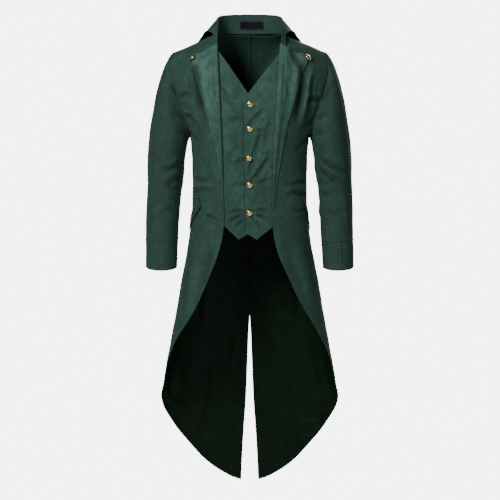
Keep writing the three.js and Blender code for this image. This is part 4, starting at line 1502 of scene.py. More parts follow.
    def build_side(self, side: Side) -> list[Piece]:
        """Makes one side's front, back and lining."""
        wool, satin = self.finishes.wool, self.finishes.satin
        front_rows = two_part(90, 200, self.pit_share)
        front = self.grid(self.front_panel(side), side, stations(60), front_rows)
        back_rows = two_part(84, 230, self.pit_share)
        back_columns = stations(80, (self.neck_share,))
        back = self.grid(self.back_panel(side), side, back_columns, back_rows)
        lining_rows = self.trimmed(back_rows[::2], 0.012, self.lining_hem)
        lining_columns = self.trimmed(back_columns, 0.0, self.lining_edge)
        lining = self.grid(self.back_panel(side), side, lining_columns, lining_rows)
        names = [f"{part}_{side.value}" for part in ("coat_front", "coat_back", "lining")]
        inside, own = -FORM.cloth - FORM.seam, FORM.folds(LINING_CREASES, False)
        return [
            put_cloth(names[0], lay(front, 0.0, self.folds), FORM.cloth, wool, self.front_cut),
            put_cloth(names[1], lay(back, 0.0, self.folds), FORM.cloth, wool, self.back_cut),
            put_cloth(
                names[2],
                lay(lining, inside, self.folds, own, inward=True),
                self.lining,
                satin,
                self.lining_cut,
            ),
        ]


@dataclass
class Lapels:
    """The long narrow lapels, each rolled back over its coat front."""

    finishes: Finishes
    coat_folds: Sequence[Fold]
    top_z: float = -29.0
    tip_z: float = -56.0
    dip: float = 6.0
    roll_gap: float = 0.4
    roll_height: float = 5.0
    roll_start: float = 0.25
    roll_pace: float = 1.4
    roll_loss: float = 0.5
    end_share: float = 0.8
    end_lift: float = -0.8
    tuck: float = 3.2
    tuck_angle: float = 165.0
    cut: Cut = Cut(0.075, 0.46, 0.019)

    def lift(self, s: Array, t: Array) -> Array:
        """How far the lapel stands off the coat at each column s and row t."""
        across = np.clip(s * self.roll_pace + self.roll_start, 0, 1)
        roll = self.roll_height * np.sin(np.pi * across) * (1 - self.roll_loss * t)
        stands = FORM.cloth + 3 * FORM.seam * (1 + (1 - t) ** 3) + roll
        return mix(stands, self.end_lift, smooth((t - self.end_share) / (1 - self.end_share)))

    def panel(self, side: Side) -> Panel:
        """The lapel, from its roll to its outer edge."""
        edge = LAPEL_EDGE[side]
        edge_x = Curve([point.z for point in edge], [point.x for point in edge])
        end_z = edge[-1].z
        roll_x = FORM.roll_at[side]

        def inner(t: Array) -> Array:
            """The roll."""
            z = mix(self.top_z, end_z, t)
            return FORM.place_x(roll_x(z) + self.roll_gap, z)

        def outer(t: Array) -> Array:
            """The outer edge."""
            z = mix(self.tip_z, end_z, t)
            return FORM.place_x(edge_x(z), z)

        def top(s: Array) -> Array:
            """The top edge, with its slight dip."""
            z = mix(self.top_z, self.tip_z, s) - self.dip * np.sin(np.pi * s)
            return FORM.place_x(mix(roll_x(self.top_z) + self.roll_gap, edge_x(self.tip_z), s), z)

        def bottom(s: Array) -> Array:
            """The end, where the lapel runs into the coat's edge."""
            return FORM.place_x(mix(roll_x(end_z) + self.roll_gap, edge_x(end_z), s), end_z)

        return Panel(top, bottom, inner, outer)

    def cloth(self, side: Side) -> Cloth:
        """The lapel's outer face with the roll that tucks it round the coat's front edge."""
        s = stations(26, edge=0.02)
        t = stations(120, edge=0.003)
        places = self.panel(side).places(s, t) * side.flip
        own = FORM.folds(LAPEL_CREASES[side], True)
        lift = self.lift(s[None, :], t[:, None])
        face = lay(places, lift, self.coat_folds, own)
        radius = ((lift[:, :1] + self.tuck) / 2)[..., None]
        up, edge = face.normals[:, :1], face.points[:, :1]
        away = unit(face.points[:, :1] - face.points[:, 2:3])
        away = unit(away - (away * up).sum(axis=-1, keepdims=True) * up)
        angles = np.radians(np.arange(self.tuck_angle, 0, -15.0))[None, :, None]
        round_normals = up * np.cos(angles) + away * np.sin(angles)
        tucked = edge - up * radius + round_normals * radius
        shift = np.repeat(face.shift[:, :1], tucked.shape[1], axis=1)
        return Cloth(
            np.concatenate([tucked, face.points], axis=1),
            np.concatenate([round_normals, face.normals], axis=1),
            np.concatenate([shift, face.shift], axis=1),
        )

    def build(self) -> list[Piece]:
        """Makes both lapels."""
        return put_pair("lapel", self.cloth, self.finishes.lapel_wool, self.cut)


@dataclass
class Waistcoat:
    """The waistcoat's two fronts, the left one lapping over the right."""

    finishes: Finishes
    coat_folds: Sequence[Fold]
    under_coat: float = 52.0
    shoulder: float = 8.0
    v_share: float = 0.34
    sink: float = 3.3
    step_x: float = -46.0
    step_length: float = 24.0
    overlap_dip: float = 1.6
    cut: Cut = Cut(0.17, 0.53, 0.066)

    def panel(self, side: Side) -> Panel:
        """A waistcoat front, from its hidden outer edge to the neck opening and the overlap."""
        hem, v = WAISTCOAT_HEM[side], WAISTCOAT_V[side]
        stations_of_hem = np.linspace(0, 1, len(hem))
        hem_x, hem_z = [point.x for point in hem], [point.z for point in hem]

        def hidden(t: Array) -> Array:
            """The edge under the coat front."""
            z = mix(v.top.z - self.shoulder, hem[0].z, t)
            x = side.sign * (FORM.roll_at[side](z) + self.under_coat)
            return FORM.place_x(mix(x, hem[0].x, t**4), z)

        def edge(t: Array) -> Array:
            """The neck opening and the overlap's edge."""
            upper = np.clip(t / self.v_share, 0, 1)
            lower = np.clip((t - self.v_share) / (1 - self.v_share), 0, 1)
            x = mix(v.top.x, v.corner.x, upper) + (hem_x[-1] - v.corner.x) * lower
            z = mix(v.top.z, v.corner.z, upper) + (hem_z[-1] - v.corner.z) * lower
            return FORM.place_x(x, z)

        def top(s: Array) -> Array:
            """The short top edge."""
            start_z = v.top.z - self.shoulder
            start_x = side.sign * (FORM.roll_at[side](start_z) + self.under_coat)
            return FORM.place_x(mix(start_x, v.top.x, s), mix(start_z, v.top.z, s))

        def bottom(s: Array) -> Array:
            """The pointed hem."""
            return FORM.place_x(np.interp(s, stations_of_hem, hem_x), np.interp(s, stations_of_hem, hem_z))

        return Panel(top, bottom, hidden, edge)

    def lift(self, side: Side, places: Array) -> Array:
        """How deep the waistcoat lies under the coat: the right front drops behind the left one."""
        x = FORM.point(places[..., 0], places[..., 1])[..., 0]
        if side is Side.LEFT:
            return np.full(x.shape, -self.sink)
        step = np.clip((x - self.step_x) / self.step_length, 0, 1)
        return -self.sink - (FORM.cloth + 2 * FORM.seam) * step

    def cloth(self, side: Side) -> Cloth:
        """One front's outer face."""
        places = self.panel(side).places(stations(60), two_part(60, 150, self.v_share, 0.002))
        return lay(places, self.lift(side, places), self.folds(side))

    def folds(self, side: Side) -> list[Fold]:
        """One front's creases, the coat's folds above its hidden part, and the dip beside the overlap."""
        made = [*self.coat_folds, *FORM.folds(WAISTCOAT_CREASES[side], True)]
        if side is Side.RIGHT:
            overlap = self.panel(Side.LEFT).outer(np.linspace(self.v_share, 1, 30))
            overlap[:, 0] = overlap[:, 0] - 0.6
            made.append(Fold(FORM.point(overlap[:, 0], overlap[:, 1]), self.overlap_dip, 1.8))
        return made

    def build(self) -> list[Piece]:
        """Makes both fronts."""
        return put_pair("waistcoat", self.cloth, self.finishes.waistcoat_wool, self.cut)


@dataclass
class PocketFlaps:
    """The slanted flaps at the sides. Their back ends lie where those of their solids do."""

    finishes: Finishes
    coat_folds: Sequence[Fold]
    top_z: float = -436.0
    fall: float = 66.0
    height: float = 34.0
    front_turn: dict[Side, float] = field(default_factory=lambda: {Side.RIGHT: 61.5, Side.LEFT: 63.5})
    back_turn: dict[Side, float] = field(default_factory=lambda: {Side.RIGHT: 88.0, Side.LEFT: 96.0})
    lean: dict[Side, float] = field(default_factory=lambda: {Side.RIGHT: -7.0, Side.LEFT: 5.0})
    corner_round: float = 3.5
    hang: float = 2.6
    front_hang: float = 1.6
    cut: Cut = Cut(0.093, 0.025, 0.0022)

    def cloth(self, side: Side) -> Cloth:
        """One flap's outer face."""
        start, end, lean = self.front_turn[side], self.back_turn[side], self.lean[side]
        s, t = stations(34, edge=0.008)[None, :], stations(14, edge=0.02)[:, None]
        corner = self.corner_round * (np.abs(2 * s - 1) ** 12) * t**2
        turn = mix(start, end, s) + lean * t * (1 - s)
        z = self.top_z - self.fall * s - self.height * t + corner
        places = FORM.place(side.sign * turn, z)
        stands = (self.hang * smooth(t) + self.front_hang * (1 - s) ** 3) * (1 - s)
        return lay(places, FORM.cloth + 2 * FORM.seam + stands, self.coat_folds)

    def build(self) -> list[Piece]:
        """Makes both flaps."""
        return put_pair("pocket_flap", self.cloth, self.finishes.wool, self.cut)


@dataclass
class Sleeves:
    """The two-piece set-in sleeves.

    A place on a sleeve is an angle round the arm, 0 outside, 90 in front and 180 towards the body,
    and a share of its length; the cap takes the first part of it.
    """

    finishes: Finishes
    coat_folds: Sequence[Fold]
    cap_share: float = 0.4
    front_seam: float = 165.0
    back_seam: float = 255.0
    tuck: float = 1.4
    gap_under: float = 1.2
    head_fullness: float = 8.0
    settle: float = 0.06
    fold_strength: float = 1.35
    seam_gap: float = 0.2
    cuff_share: float = 0.862
    cuff_rise: float = 11.0
    cuff_back_rise: float = 3.0
    cuff_bend: float = 0.85
    cuff_seam: dict[Side, float] = field(default_factory=lambda: {Side.RIGHT: 0.8, Side.LEFT: 1.6})
    cuff_tilt: float = 0.014
    vent_angle: float = 79.0
    upper_cut: Cut = Cut(0.29, 0.64, 0.128)
    under_cut: Cut = Cut(0.105, 0.42, 0.036)
    groove: SeamGroove = field(default_factory=SeamGroove)

    def __post_init__(self) -> None:
        """Makes the curves of the sleeve's sections."""
        heights = [ring.z for ring in SLEEVE_RINGS]
        self.ring_at = {
            name: Curve(heights, [getattr(ring, name) for ring in SLEEVE_RINGS])
            for name in ("x", "y", "width", "depth")
        }

    def ring(self, side: Side, angle: Array, z: Array | float) -> Array:
        """Points of the sleeve's section at a height."""
        x = self.ring_at["x"](z) + self.ring_at["width"](z) / 2 * np.cos(np.radians(angle))
        y = self.ring_at["y"](z) - self.ring_at["depth"](z) / 2 * np.sin(np.radians(angle))
        x, y, z = np.broadcast_arrays(side.sign * x, y, np.asarray(z, float))
        return np.stack([x, y, z], axis=-1)

    @staticmethod
    def armhole_place(angle: Array) -> Array:
        """The armhole's edge at each angle round the arm, as places on the left side."""
        front = FORM.armhole(np.where(angle > 180, 0, angle), False)
        back = FORM.armhole(np.where(angle > 180, 360 - angle, 0), True)
        return np.where((angle > 180)[..., None], back, front)

    def armhole_edge(self, side: Side, angle: Array) -> Array:
        """Points of the armhole's edge at each angle round the arm."""
        place = self.armhole_place(angle)
        points = FORM.point(place[..., 0], place[..., 1])
        points[..., 1] = np.where(place[..., 1] < 1e-6, FORM.ridge_y, points[..., 1])
        return points * np.array([side.sign, 1.0, 1.0])

    def edge_move(self, side: Side, angle: Array) -> Array:
        """How far the coat's folds have moved the armhole's edge at each angle."""
        place = self.armhole_place(angle % 360) * side.flip
        edge = FORM.point(place[..., 0], place[..., 1])
        shift = settled(edge, self.coat_folds)
        return shift[..., None] * FORM.normal(place[..., 0], place[..., 1])

    def point(self, side: Side, angle: Array, share: Array) -> Array:
        """The points of the sleeve's outer face at some angles and shares."""
        angle, share = np.broadcast_arrays(np.asarray(angle, float) % 360, np.clip(share, 0, 1))
        cap_end, cuff = SLEEVE_RINGS[0].z, SLEEVE_RINGS[-1].z
        below = self.ring(side, angle, mix(cap_end, cuff, (share - self.cap_share) / (1 - self.cap_share)))
        front = np.sin(np.radians(angle))
        rise = self.cuff_rise * (1 - np.maximum(front, 0)) + self.cuff_back_rise * np.maximum(-front, 0)
        below[..., 2] += rise * smooth((share - self.cuff_bend) / (1 - self.cuff_bend))
        start = self.armhole_edge(side, angle)
        end = self.ring(side, angle, cap_end)
        drop = (start - end)[..., 2:3]
        under = np.sin(np.radians(angle) / 2) ** 2
        leave = np.stack(
            [
                side.sign * (0.36 + 0.24 * under**3),
                -0.15 * np.sin(np.radians(angle)),
                -0.24 - 0.5 * under,
            ],
            axis=-1,
        )
        start = start + unit(leave) * mix(-self.tuck, self.gap_under, under**4)[..., None]
        arrive = 1.25 * (self.ring(side, angle, cap_end - 1) - end)
        t = np.clip(share / self.cap_share, 0, 1)[..., None]
        rest = 1 - t
        cap = (
            start * (1 + 2 * t) * rest**2
            + leave * drop * t * rest**2
            + end * t**2 * (3 - 2 * t)
            - arrive * drop * t**2 * rest
        )
        reach = np.sin(np.pi * np.clip(share / (1.5 * self.cap_share), 0, 1)) ** 2
        outwards = np.maximum(np.cos(np.radians(angle)), 0) ** 1.5
        both = np.where((share >= self.cap_share)[..., None], below, cap)
        both[..., 0] += side.sign * self.head_fullness * reach * outwards
        return both

    def normal(self, side: Side, angle: Array, share: Array) -> Array:
        """The outward directions at some angles and shares."""
        turn, step = 2.0, 0.004
        about = self.point(side, angle + turn, share) - self.point(side, angle - turn, share)
        down = self.point(side, angle, share + step) - self.point(side, angle, share - step)
        return -side.sign * unit(np.cross(about, down))

    def folds(self, side: Side) -> list[Fold]:
        """The creases, the seams and the cuff's seam and vent of one sleeve."""
        made = []
        for crease in SLEEVE_CREASES[side]:
            route = self.point(side, *close_places(crease.places))
            depth = self.fold_strength * crease.depth
            made.append(Fold(route, depth, crease.width, crease.fade_in, crease.fade_out))
        down = np.linspace(0, 1, 41)
        for seam in (self.front_seam, self.back_seam):
            made.append(self.groove.along(self.point(side, np.full(41, seam), down)))
        about = np.linspace(0, 360, 41)
        made.append(Fold(self.point(side, about, self.cuff_line(about)), self.cuff_seam[side], 1.8))
        vent = np.linspace(self.cuff_line(np.array(self.vent_angle)), 1, 9)
        made.append(Fold(self.point(side, np.full(9, self.vent_angle), vent), self.cuff_seam[side], 1.8))
        return made

    def cuff_line(self, angle: Array) -> Array:
        """The share at which the cuff's seam runs, tilted down towards the body."""
        return self.cuff_share - self.cuff_tilt * np.cos(np.radians(angle))

    def parts(self) -> tuple[tuple[str, float, float, int, Cut], ...]:
        """The name, first and last angle, number of columns and cut of each piece of a sleeve."""
        return (
            ("sleeve_upper", self.back_seam - 360, self.front_seam, 92, self.upper_cut),
            ("sleeve_under", self.front_seam, self.back_seam, 34, self.under_cut),
        )

    def piece(self, side: Side, start: float, end: float, columns: int) -> Cloth:
        """The part of a sleeve between two angles."""
        rows = np.union1d(two_part(58, 92, self.cap_share, 0.0015), np.linspace(0.84, 0.884, 30))
        angles = mix(start + self.seam_gap, end - self.seam_gap, stations(columns, edge=0.25 / columns))
        if start < self.vent_angle < end:
            angles = np.union1d(angles, np.linspace(-4, 4, 9) + self.vent_angle)
        angle, share = np.meshgrid(angles, rows)
        base, normals = self.point(side, angle, share), self.normal(side, angle, share)
        shift = (fold_shift(base, self.folds(side)) + 0.8 * drape(base)) * smooth(share / self.settle)
        follow = self.edge_move(side, angles)[None] * (1 - smooth(share / (2 * self.settle)))[..., None]
        return Cloth(base + shift[..., None] * normals + follow, normals, shift)

    def build(self) -> list[Piece]:
        """Makes the upper and under pieces of both sleeves."""
        made, wool = [], self.finishes.sleeve_wool
        for side in Side:
            for part, start, end, columns, cut in self.parts():
                cloth = self.piece(side, start, end, columns)
                name = f"{part}_{side.value}"
                made.append(put_cloth(name, cloth, FORM.cloth, wool, cut))
        return made


@dataclass
class Collar:
    """The collar, one wall up the stand, over the fold and down the leaf, with its bare label."""

    finishes: Finishes
    gap: float = 0.5
    radius_back: float = 5.0
    radius_front: float = 2.6
    leaf_bow: float = 1.6
    label_middle_x: float = 6.0
    label_width: float = 64.0
    label_low: float = 18.0
    label_high: float = 40.0
    label_thick: float = 0.8
    cut: Cut = Cut(0.125, 0.47, 0.046)
    label_cut: Cut = Cut(0.064, 0.023, 0.00145)

    def __post_init__(self) -> None:
        """Makes the curves of the seam, the fold and the leaf's edge, mirrored at the centre back."""
        self.lines: dict[str, tuple[Curve, Curve, Curve]] = {}
        shares = [row.share for row in COLLAR]
        mirrored = [-share for share in shares[1:]] + shares
        for name in ("seam", "fold", "edge"):
            rows = np.array([getattr(row, name) for row in COLLAR], float)
            both = np.concatenate([rows[1:] * np.array([-1, 1, 1]), rows])
            x, y, z = (Curve(mirrored, both[:, k]) for k in range(3))
            self.lines[name] = (x, y, z)

    def line(self, name: str, u: Array) -> Array:
        """Points of one of the collar's lines, u from -1 at its right end to 1 at its left."""
        return np.stack([part(u) for part in self.lines[name]], axis=-1)

    def sections(self, u: Array) -> tuple[Array, Array, Array, Array, Array]:
        """The foot, the fold's middle, its outward direction, its radius and the leaf's edge."""
        foot = self.line("seam", u) + np.array([0, 0, self.gap])
        hem = self.line("edge", u)
        radius = mix(self.radius_back, self.radius_front, np.abs(u))[:, None]
        out = unit((hem - foot) * np.array([1, 1, 0]))
        middle = self.line("fold", u) - radius * np.array([0, 0, 1])
        return foot, middle, out, radius, hem

    def stand(self, u: Array, share: Array | float) -> Array:
        """Points of the stand's face towards the neck."""
        foot, middle, out, radius, _ = self.sections(u)
        return mix(foot, middle - out * radius, np.asarray(share)[..., None])

    def cloth(self) -> Cloth:
        """The collar's outer face, which is the neck's side of the stand and the leaf's outside."""
        u = 2 * stations(110, edge=0.002) - 1
        foot, middle, out, radius, hem = self.sections(u)
        up = np.array([0, 0, 1])
        columns = [mix(foot, middle - out * radius, s) for s in stations(12, edge=0.015)]
        for angle in np.radians(np.arange(15, 180, 15)):
            columns.append(middle - out * radius * math.cos(angle) + up * radius * math.sin(angle))
        fall = stations(22, edge=0.008)
        for s in fall:
            bow = self.leaf_bow * math.sin(math.pi * s)
            columns.append(mix(middle + out * radius, hem, s) + out * bow)
        points = np.stack(columns, axis=1)
        normals = unit(np.cross(np.gradient(points, axis=0), np.gradient(points, axis=1)))
        leaf = len(columns) - len(fall) // 2
        if (normals[len(u) // 2, leaf] * out[len(u) // 2]).sum() < 0:
            normals = -normals
        shift = 0.6 * drape(points) * np.linspace(0.2, 1, points.shape[1])
        return Cloth(points + shift[..., None] * normals, normals, shift)

    def label(self) -> Cloth:
        """The label's face, just before the stand."""
        x = self.label_middle_x + self.label_width * (stations(28, edge=0.006) - 0.5)
        u = x / COLLAR[1].seam[0] * COLLAR[1].share
        rows = []
        for z in mix(self.label_high, self.label_low, stations(10, edge=0.02)):
            foot, top = self.stand(u, 0.0), self.stand(u, 1.0)
            rows.append(mix(foot, top, ((z - foot[:, 2]) / (top[:, 2] - foot[:, 2]))[:, None]))
        points = np.stack(rows) - np.array([0, self.label_thick + 0.7, 0])
        normals = np.broadcast_to(np.array([0.0, -1.0, 0.0]), points.shape).copy()
        return Cloth(points, normals, np.zeros(points.shape[:-1]))

    def build(self) -> list[Piece]:
        """Makes the collar and the label."""
        return [
            put_cloth("collar", self.cloth(), FORM.cloth, self.finishes.wool, self.cut),
            put_cloth(
                "neck_label",
                self.label(),
                self.label_thick,
                self.finishes.label,
                self.label_cut,
            ),
        ]


class LatheRow(NamedTuple):
    """A ring of a button: its radius and height, as shares of the button's radius."""

    r: float
    h: float


@dataclass
class Buttons:
    """The domed brass buttons on their shanks."""

    finishes: Finishes
    lapels: Lapels
    waistcoat: Waistcoat
    waistcoat_radius: float = 8.0
    lapel_radius: float = 9.8
    lapel_z: float = -66.0
    lapel_inset: float = 5.0
    lapel_tilt: float = 30.0
    lapel_rise: float = 1.5
    profile: tuple[LatheRow, ...] = table(
        LatheRow, (0.001, -0.16), (0.2, -0.16), (0.2, 0.2), (0.82, 0.22), (0.94, 0.25), (1.0, 0.32),
        (0.99, 0.4), (0.94, 0.46), (0.87, 0.47), (0.82, 0.44), (0.78, 0.46), (0.68, 0.57), (0.54, 0.67),
        (0.38, 0.74), (0.2, 0.775), (0.001, 0.785),
    )

    def button(
        self, name: str, turn: float, drop: float, lift: float, radius: float, tilt: float = 0.0
    ) -> Piece:
        """Makes one button where it stands on the cloth.

        Args:
            name: The solid that it stands for.
            turn: Its place round the body.
            drop: Its place below the ridge.
            lift: How far outside the coat's face the cloth under it lies.
            radius: Its radius.
            tilt: How far it leans on its shank, in degrees, positive towards +X.

        Returns:
            The button.
        """
        up = FORM.normal(turn, drop)
        base = FORM.point(turn, drop) + up * (lift + FORM.seam)
        cosine, sine = math.cos(math.radians(tilt)), math.sin(math.radians(tilt))
        up = np.array([cosine * up[0] - sine * up[1], sine * up[0] + cosine * up[1], up[2]])
        side = unit(np.cross(up, np.array([0.0, 0.0, 1.0])))
        top = np.cross(side, up)
        steps = 36
        angles = np.arange(steps) * 2 * np.pi / steps
        about = side * np.cos(angles)[:, None] + top * np.sin(angles)[:, None]
        rings = [base + radius * (row.r * about + row.h * up) for row in self.profile]
        points = np.concatenate(rings)
        grid = np.arange(len(points)).reshape(len(rings), steps)
        after = np.roll(grid, -1, axis=1)
        quads = np.stack([grid[:-1], after[:-1], after[1:], grid[1:]], axis=-1).reshape(-1, 4)
        made = mesh_object(f"{name}_brass", points, quads)
        bpy.context.view_layer.update()
        close_and_turn_out(made)
        return put(made, self.finishes.brass, name)

    def build(self) -> list[Piece]:
        """Makes the waistcoat's five buttons and the two at the lapels' tips."""
        made = []
        for number, spot in enumerate(WAISTCOAT_BUTTONS, 1):
            turn, drop = FORM.place_x(spot.x, spot.z)
            folds = self.waistcoat.folds(Side.LEFT)
            base = FORM.point(turn, drop)[None]
            rise = float(settled(base, folds)[0])
            lift = -self.waistcoat.sink + rise
            made.append(self.button(f"waistcoat_button_{number}", turn, drop, lift, self.waistcoat_radius))
        for side in Side:
            x = side.sign * (LAPEL_EDGE[side][0].x - self.lapel_inset)
            turn, drop = FORM.place_x(x, self.lapel_z)
            base = FORM.point(turn, drop)[None]
            rise = float(settled(base, self.lapels.coat_folds)[0])
            lift = float(self.lapels.lift(np.array(1.0), np.array(0.0))) - FORM.seam + rise
            name = f"lapel_button_{side.value}"
            tilt = side.sign * self.lapel_tilt
            made.append(self.button(name, turn, drop, lift + self.lapel_rise, self.lapel_radius, tilt))
        return made


def close_and_turn_out(piece: Piece) -> None:
    """Merges doubled points of a mesh, closes its poles and turns its faces outwards."""
    work = bmesh.new()
    work.from_mesh(piece.data)
    bmesh.ops.remove_doubles(work, verts=work.verts, dist=0.00004)
    bmesh.ops.recalc_face_normals(work, faces=work.faces)
    work.to_mesh(piece.data)
    work.free()
    piece.data.polygons.foreach_set("use_smooth", np.ones(len(piece.data.polygons), bool))


class Stitch(NamedTuple):
    """Stitches in a row: how far apart they are, and one's length and thickness, in millimetres."""

    pitch: float
    length: float
    thick: float


@dataclass
class StitchTree:
    """A node tree that sets small stitches along a line of edges."""

    seed: int = 7
    least: float = 0.85
    most: float = 1.08
    tree: bpy.types.NodeTree = field(init=False)

    def __post_init__(self) -> None:
        """Builds the tree with its named inputs."""
        self.tree = bpy.data.node_groups.new("stitches_on_a_line", "GeometryNodeTree")
        face = self.tree.interface
        face.new_socket("Line", in_out="INPUT", socket_type="NodeSocketGeometry")
        for name in ("Pitch", "Length", "Thickness"):
            face.new_socket(name, in_out="INPUT", socket_type="NodeSocketFloat")
        face.new_socket("Thread", in_out="INPUT", socket_type="NodeSocketMaterial")
        face.new_socket("Stitches", in_out="OUTPUT", socket_type="NodeSocketGeometry")
        source = self._node("NodeGroupInput").outputs
        curve = self._node("GeometryNodeMeshToCurve", Mesh=source["Line"])
        even = self._node(
            "GeometryNodeResampleCurve", {"mode": "LENGTH"}, Curve=curve.outputs[0], Length=source["Pitch"]
        )
        bead = self._node("GeometryNodeMeshUVSphere", Segments=6, Rings=4, Radius=0.5)
        thick = source["Thickness"]
        scale = self._node("ShaderNodeCombineXYZ", X=thick, Y=thick, Z=source["Length"])
        stitch = self._node("GeometryNodeTransform", Geometry=bead.outputs["Mesh"], Scale=scale.outputs[0])
        tangent = self._node("GeometryNodeInputTangent")
        turn = self._node("FunctionNodeAlignRotationToVector", {"axis": "Z"}, Vector=tangent.outputs[0])
        size = self._node("FunctionNodeRandomValue", {"data_type": "FLOAT"}, Seed=self.seed)
        size.inputs[2].default_value = self.least
        size.inputs[3].default_value = self.most
        spread = self._node(
            "GeometryNodeInstanceOnPoints",
            Points=even.outputs[0],
            Instance=stitch.outputs[0],
            Rotation=turn.outputs[0],
            Scale=size.outputs[1],
        )
        real = self._node("GeometryNodeRealizeInstances", Geometry=spread.outputs[0])
        dressed = self._node(
            "GeometryNodeSetMaterial", Geometry=real.outputs[0], Material=source["Thread"]
        )
        self._node("NodeGroupOutput", Stitches=dressed.outputs[0])

    def _node(self, kind: str, settings: dict[str, str] | None = None, **sockets: object) -> bpy.types.Node:
        """Adds a node with its settings, and a link or a value for each socket named."""
        made = self.tree.nodes.new(kind)
        for name, value in (settings or {}).items():
            setattr(made, name, value)
        for name, value in sockets.items():
            if isinstance(value, Socket):
                self.tree.links.new(value, made.inputs[name])
            else:
                made.inputs[name].default_value = value
        return made

    def sew(self, name: str, lines: Sequence[Array], stitch: Stitch, thread: Finish) -> Piece:
        """Sets stitches along some lines.

        Args:
            name: The new object's name.
            lines: Rows of points in millimetres.
            stitch: The stitches' sizes.
            thread: Their material.

        Returns:
            All the stitches as one plain mesh.
        """
        edges, start = [], 0
        for line in lines:
            edges += [(start + i, start + i + 1) for i in range(len(line) - 1)]
            start += len(line)
        mesh = bpy.data.meshes.new(name)
        mesh.from_pydata((np.concatenate(lines) * MM).tolist(), edges, [])
        rail = bpy.data.objects.new(f"{name}_line", mesh)
        bpy.context.scene.collection.objects.link(rail)
        modifier = rail.modifiers.new("stitches", "NODES")
        modifier.node_group = self.tree
        pitch, length, thick = (size * MM for size in stitch)
        values = {"Pitch": pitch, "Length": length, "Thickness": thick, "Thread": thread}
        for item in self.tree.interface.items_tree:
            if item.in_out == "INPUT" and item.name in values:
                modifier[item.identifier] = values[item.name]
        depsgraph = bpy.context.evaluated_depsgraph_get()
        result = bpy.data.meshes.new_from_object(rail.evaluated_get(depsgraph))
        bpy.data.objects.remove(rail)
        result.name = name
        made = bpy.data.objects.new(name, result)
        bpy.context.scene.collection.objects.link(made)
        made.data.polygons.foreach_set("use_smooth", np.ones(len(made.data.polygons), bool))
        return made


@dataclass
class Stitching:
    """The rows of stitches that show: cuffs, lapel edges, waistcoat edges, buttonholes and label."""

    finishes: Finishes
    lapels: Lapels
    waistcoat: Waistcoat
    sleeves: Sleeves
    collar: Collar
    edge: Stitch = Stitch(3.4, 2.3, 0.5)
    hole: Stitch = Stitch(0.9, 2.6, 0.75)
    border: Stitch = Stitch(1.8, 1.3, 0.35)
    inset: float = 4.0
    cuff_inset: float = 8.0
    label_inset: float = 1.4
    hole_start: float = 2.0
    hole_length: float = 19.0
    half_hole: float = 0.75

    def at_distance(self, cloth: Cloth, axis: int, last: bool, distance: float) -> Array:
        """A line that keeps a distance from one edge of a cloth.

        Args:
            cloth: The cloth.
            axis: 0 for an edge along the rows, 1 for one down the columns.
            last: True for the last edge.
            distance: The distance in millimetres.

        Returns:
            Points just off the cloth's face.
        """
        points = cloth.points + 0.15 * cloth.normals
        grid = points if axis == 1 else points.swapaxes(0, 1)
        grid = grid[:, ::-1] if last else grid
        line = []
        for row in grid:
            reach = np.concatenate([[0], np.cumsum(np.linalg.norm(np.diff(row, axis=0), axis=1))])
            line.append([np.interp(min(distance, 0.45 * reach[-1]), reach, row[:, k]) for k in range(3)])
        return np.array(line)

    def build(self) -> list[Piece]:
        """Sews every row."""
        tree, thread, pale = StitchTree(), self.finishes.thread, self.finishes.pale_thread
        cuffs, lapels, waistcoat = [], [], []
        for side in Side:
            for _, start, end, columns, _ in self.sleeves.parts():
                cuff = self.sleeves.piece(side, start, end, columns)
                cuffs.append(self.at_distance(cuff, 0, True, self.cuff_inset))
            lapels.append(self.at_distance(self.lapels.cloth(side), 1, True, self.inset)[:-14])
            front = self.waistcoat.cloth(side)
            waistcoat += [self.at_distance(front, axis, True, self.inset) for axis in (0, 1)]
        rows = {"stitches_cuffs": cuffs, "stitches_lapels": lapels, "stitches_waistcoat": waistcoat}
        made = [put(tree.sew(name, rows[name], self.edge, thread), thread) for name in rows]
        holes = tree.sew("buttonholes", self.buttonholes(), self.hole, thread)
        made.append(put(holes, thread))
        label, sides = self.collar.label(), ((0, False), (0, True), (1, False), (1, True))
        edges = [self.at_distance(label, axis, last, self.label_inset) for axis, last in sides]
        made.append(put(tree.sew("stitches_label", edges, self.border, pale), pale))
        return made

    def buttonholes(self) -> list[Array]:
        """The two lips of each buttonhole on the waistcoat's left front."""
        folds = self.waistcoat.folds(Side.LEFT)
        lines = []
        for spot in WAISTCOAT_BUTTONS:
            for lip in (-self.half_hole, self.half_hole):
                start = spot.x - self.hole_start
                x = np.linspace(start, start + self.hole_length, 12)
                place = FORM.place_x(x, np.full(12, spot.z + lip))
                cloth = lay(place[None], np.full((1, 12), -self.waistcoat.sink + 0.1), folds)
                lines.append(cloth.points[0])
        return lines


# The studio


class Lamp(NamedTuple):
    """A square soft light: its place and size in metres, and its power in watts."""

    name: str
    place: tuple[float, float, float]
    size: float
    power: float


LAMPS = (
    Lamp("key", (-1.6, -2.7, 1.5), 0.9, 215),
    Lamp("fill", (2.4, -3.4, -0.4), 2.0, 42),
    Lamp("back", (1.2, 3.8, 1.2), 2.2, 160),
)


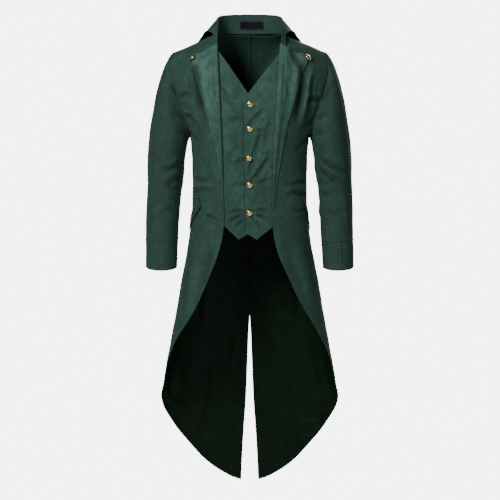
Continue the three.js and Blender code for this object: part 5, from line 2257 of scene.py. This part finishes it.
@dataclass
class Studio:
    """The plain pale floor and backdrop, the soft lights and the camera, in metres."""

    frame_width: float = 1.366
    middle_x: float = 0.0009
    middle_z: float = -0.5866
    plane_y: float = -0.02
    distance: float = 24.0
    sensor: float = 36.0
    floor_z: float = -1.5
    floor_radius: float = 2.5
    ambient: float = 0.16
    backdrop: float = 6.0

    def camera(self) -> None:
        """Makes the camera at the photograph's angle, level with the coat's middle and far away."""
        data = bpy.data.cameras.new("camera")
        data.sensor_width = self.sensor
        data.lens = self.sensor * (self.distance + self.plane_y) / self.frame_width
        data.clip_end = 200
        made = bpy.data.objects.new("camera", data)
        made.location = (self.middle_x, -self.distance, self.middle_z)
        made.rotation_euler = (math.radians(90), 0, 0)
        bpy.context.scene.collection.objects.link(made)
        bpy.context.scene.camera = made

    def light(self, lamp: Lamp) -> None:
        """Makes a soft light that faces the coat's middle."""
        data = bpy.data.lights.new(lamp.name, "AREA")
        data.size = lamp.size
        data.energy = lamp.power
        made = bpy.data.objects.new(lamp.name, data)
        made.location = lamp.place
        aim = Vector((self.middle_x, 0, self.middle_z)) - Vector(lamp.place)
        made.rotation_euler = aim.to_track_quat("-Z", "Y").to_euler()
        bpy.context.scene.collection.objects.link(made)

    def floor(self) -> None:
        """Makes the round pale floor under the coat."""
        turns = np.radians(np.arange(0, 360, 3.75))
        ring = np.stack([np.cos(turns), np.sin(turns), np.zeros_like(turns)], axis=-1) * self.floor_radius
        made = mesh_object("floor", (ring + np.array([0, 0, self.floor_z])) / MM, np.arange(len(turns))[None])
        shader = Shader("pale_floor")
        grain = shader.noise(shader.here(), 30.0)
        colour = shader.ramp(grain, ((0.3, "f4f4f3"), (0.7, "fbfbfa")))
        made.data.materials.append(shader.finish({"Base Color": colour, "Roughness": 0.9}))

    def surroundings(self) -> None:
        """Makes the white surroundings, which light the coat more softly than they look."""
        world = bpy.data.worlds.new("studio")
        world.use_nodes = True
        nodes, links = world.node_tree.nodes, world.node_tree.links
        seen = nodes.new("ShaderNodeLightPath").outputs["Is Camera Ray"]
        strength = nodes.new("ShaderNodeMapRange")
        strength.inputs["To Min"].default_value = self.ambient
        strength.inputs["To Max"].default_value = self.backdrop
        links.new(seen, strength.inputs["Value"])
        links.new(strength.outputs["Result"], nodes["Background"].inputs["Strength"])
        nodes["Background"].inputs["Color"].default_value = (1, 1, 1, 1)
        bpy.context.scene.world = world

    def build(self) -> None:
        """Makes the camera, the floor, the surroundings and the lights."""
        self.camera()
        self.floor()
        self.surroundings()
        for lamp in LAMPS:
            self.light(lamp)


def main() -> None:
    """Builds the coat piece by piece, then the studio."""
    logging.basicConfig(level=logging.INFO, format="%(name)s: %(message)s")
    finishes = make_finishes()
    body = CoatBody(finishes)
    body.build()
    lapels = Lapels(finishes, body.folds)
    lapels.build()
    waistcoat = Waistcoat(finishes, body.folds)
    waistcoat.build()
    PocketFlaps(finishes, body.folds).build()
    sleeves = Sleeves(finishes, body.folds)
    sleeves.build()
    collar = Collar(finishes)
    collar.build()
    Buttons(finishes, lapels, waistcoat).build()
    Stitching(finishes, lapels, waistcoat, sleeves, collar).build()
    Studio().build()
    log.info("the coat is finished")


if __name__ == "__main__":
    main()
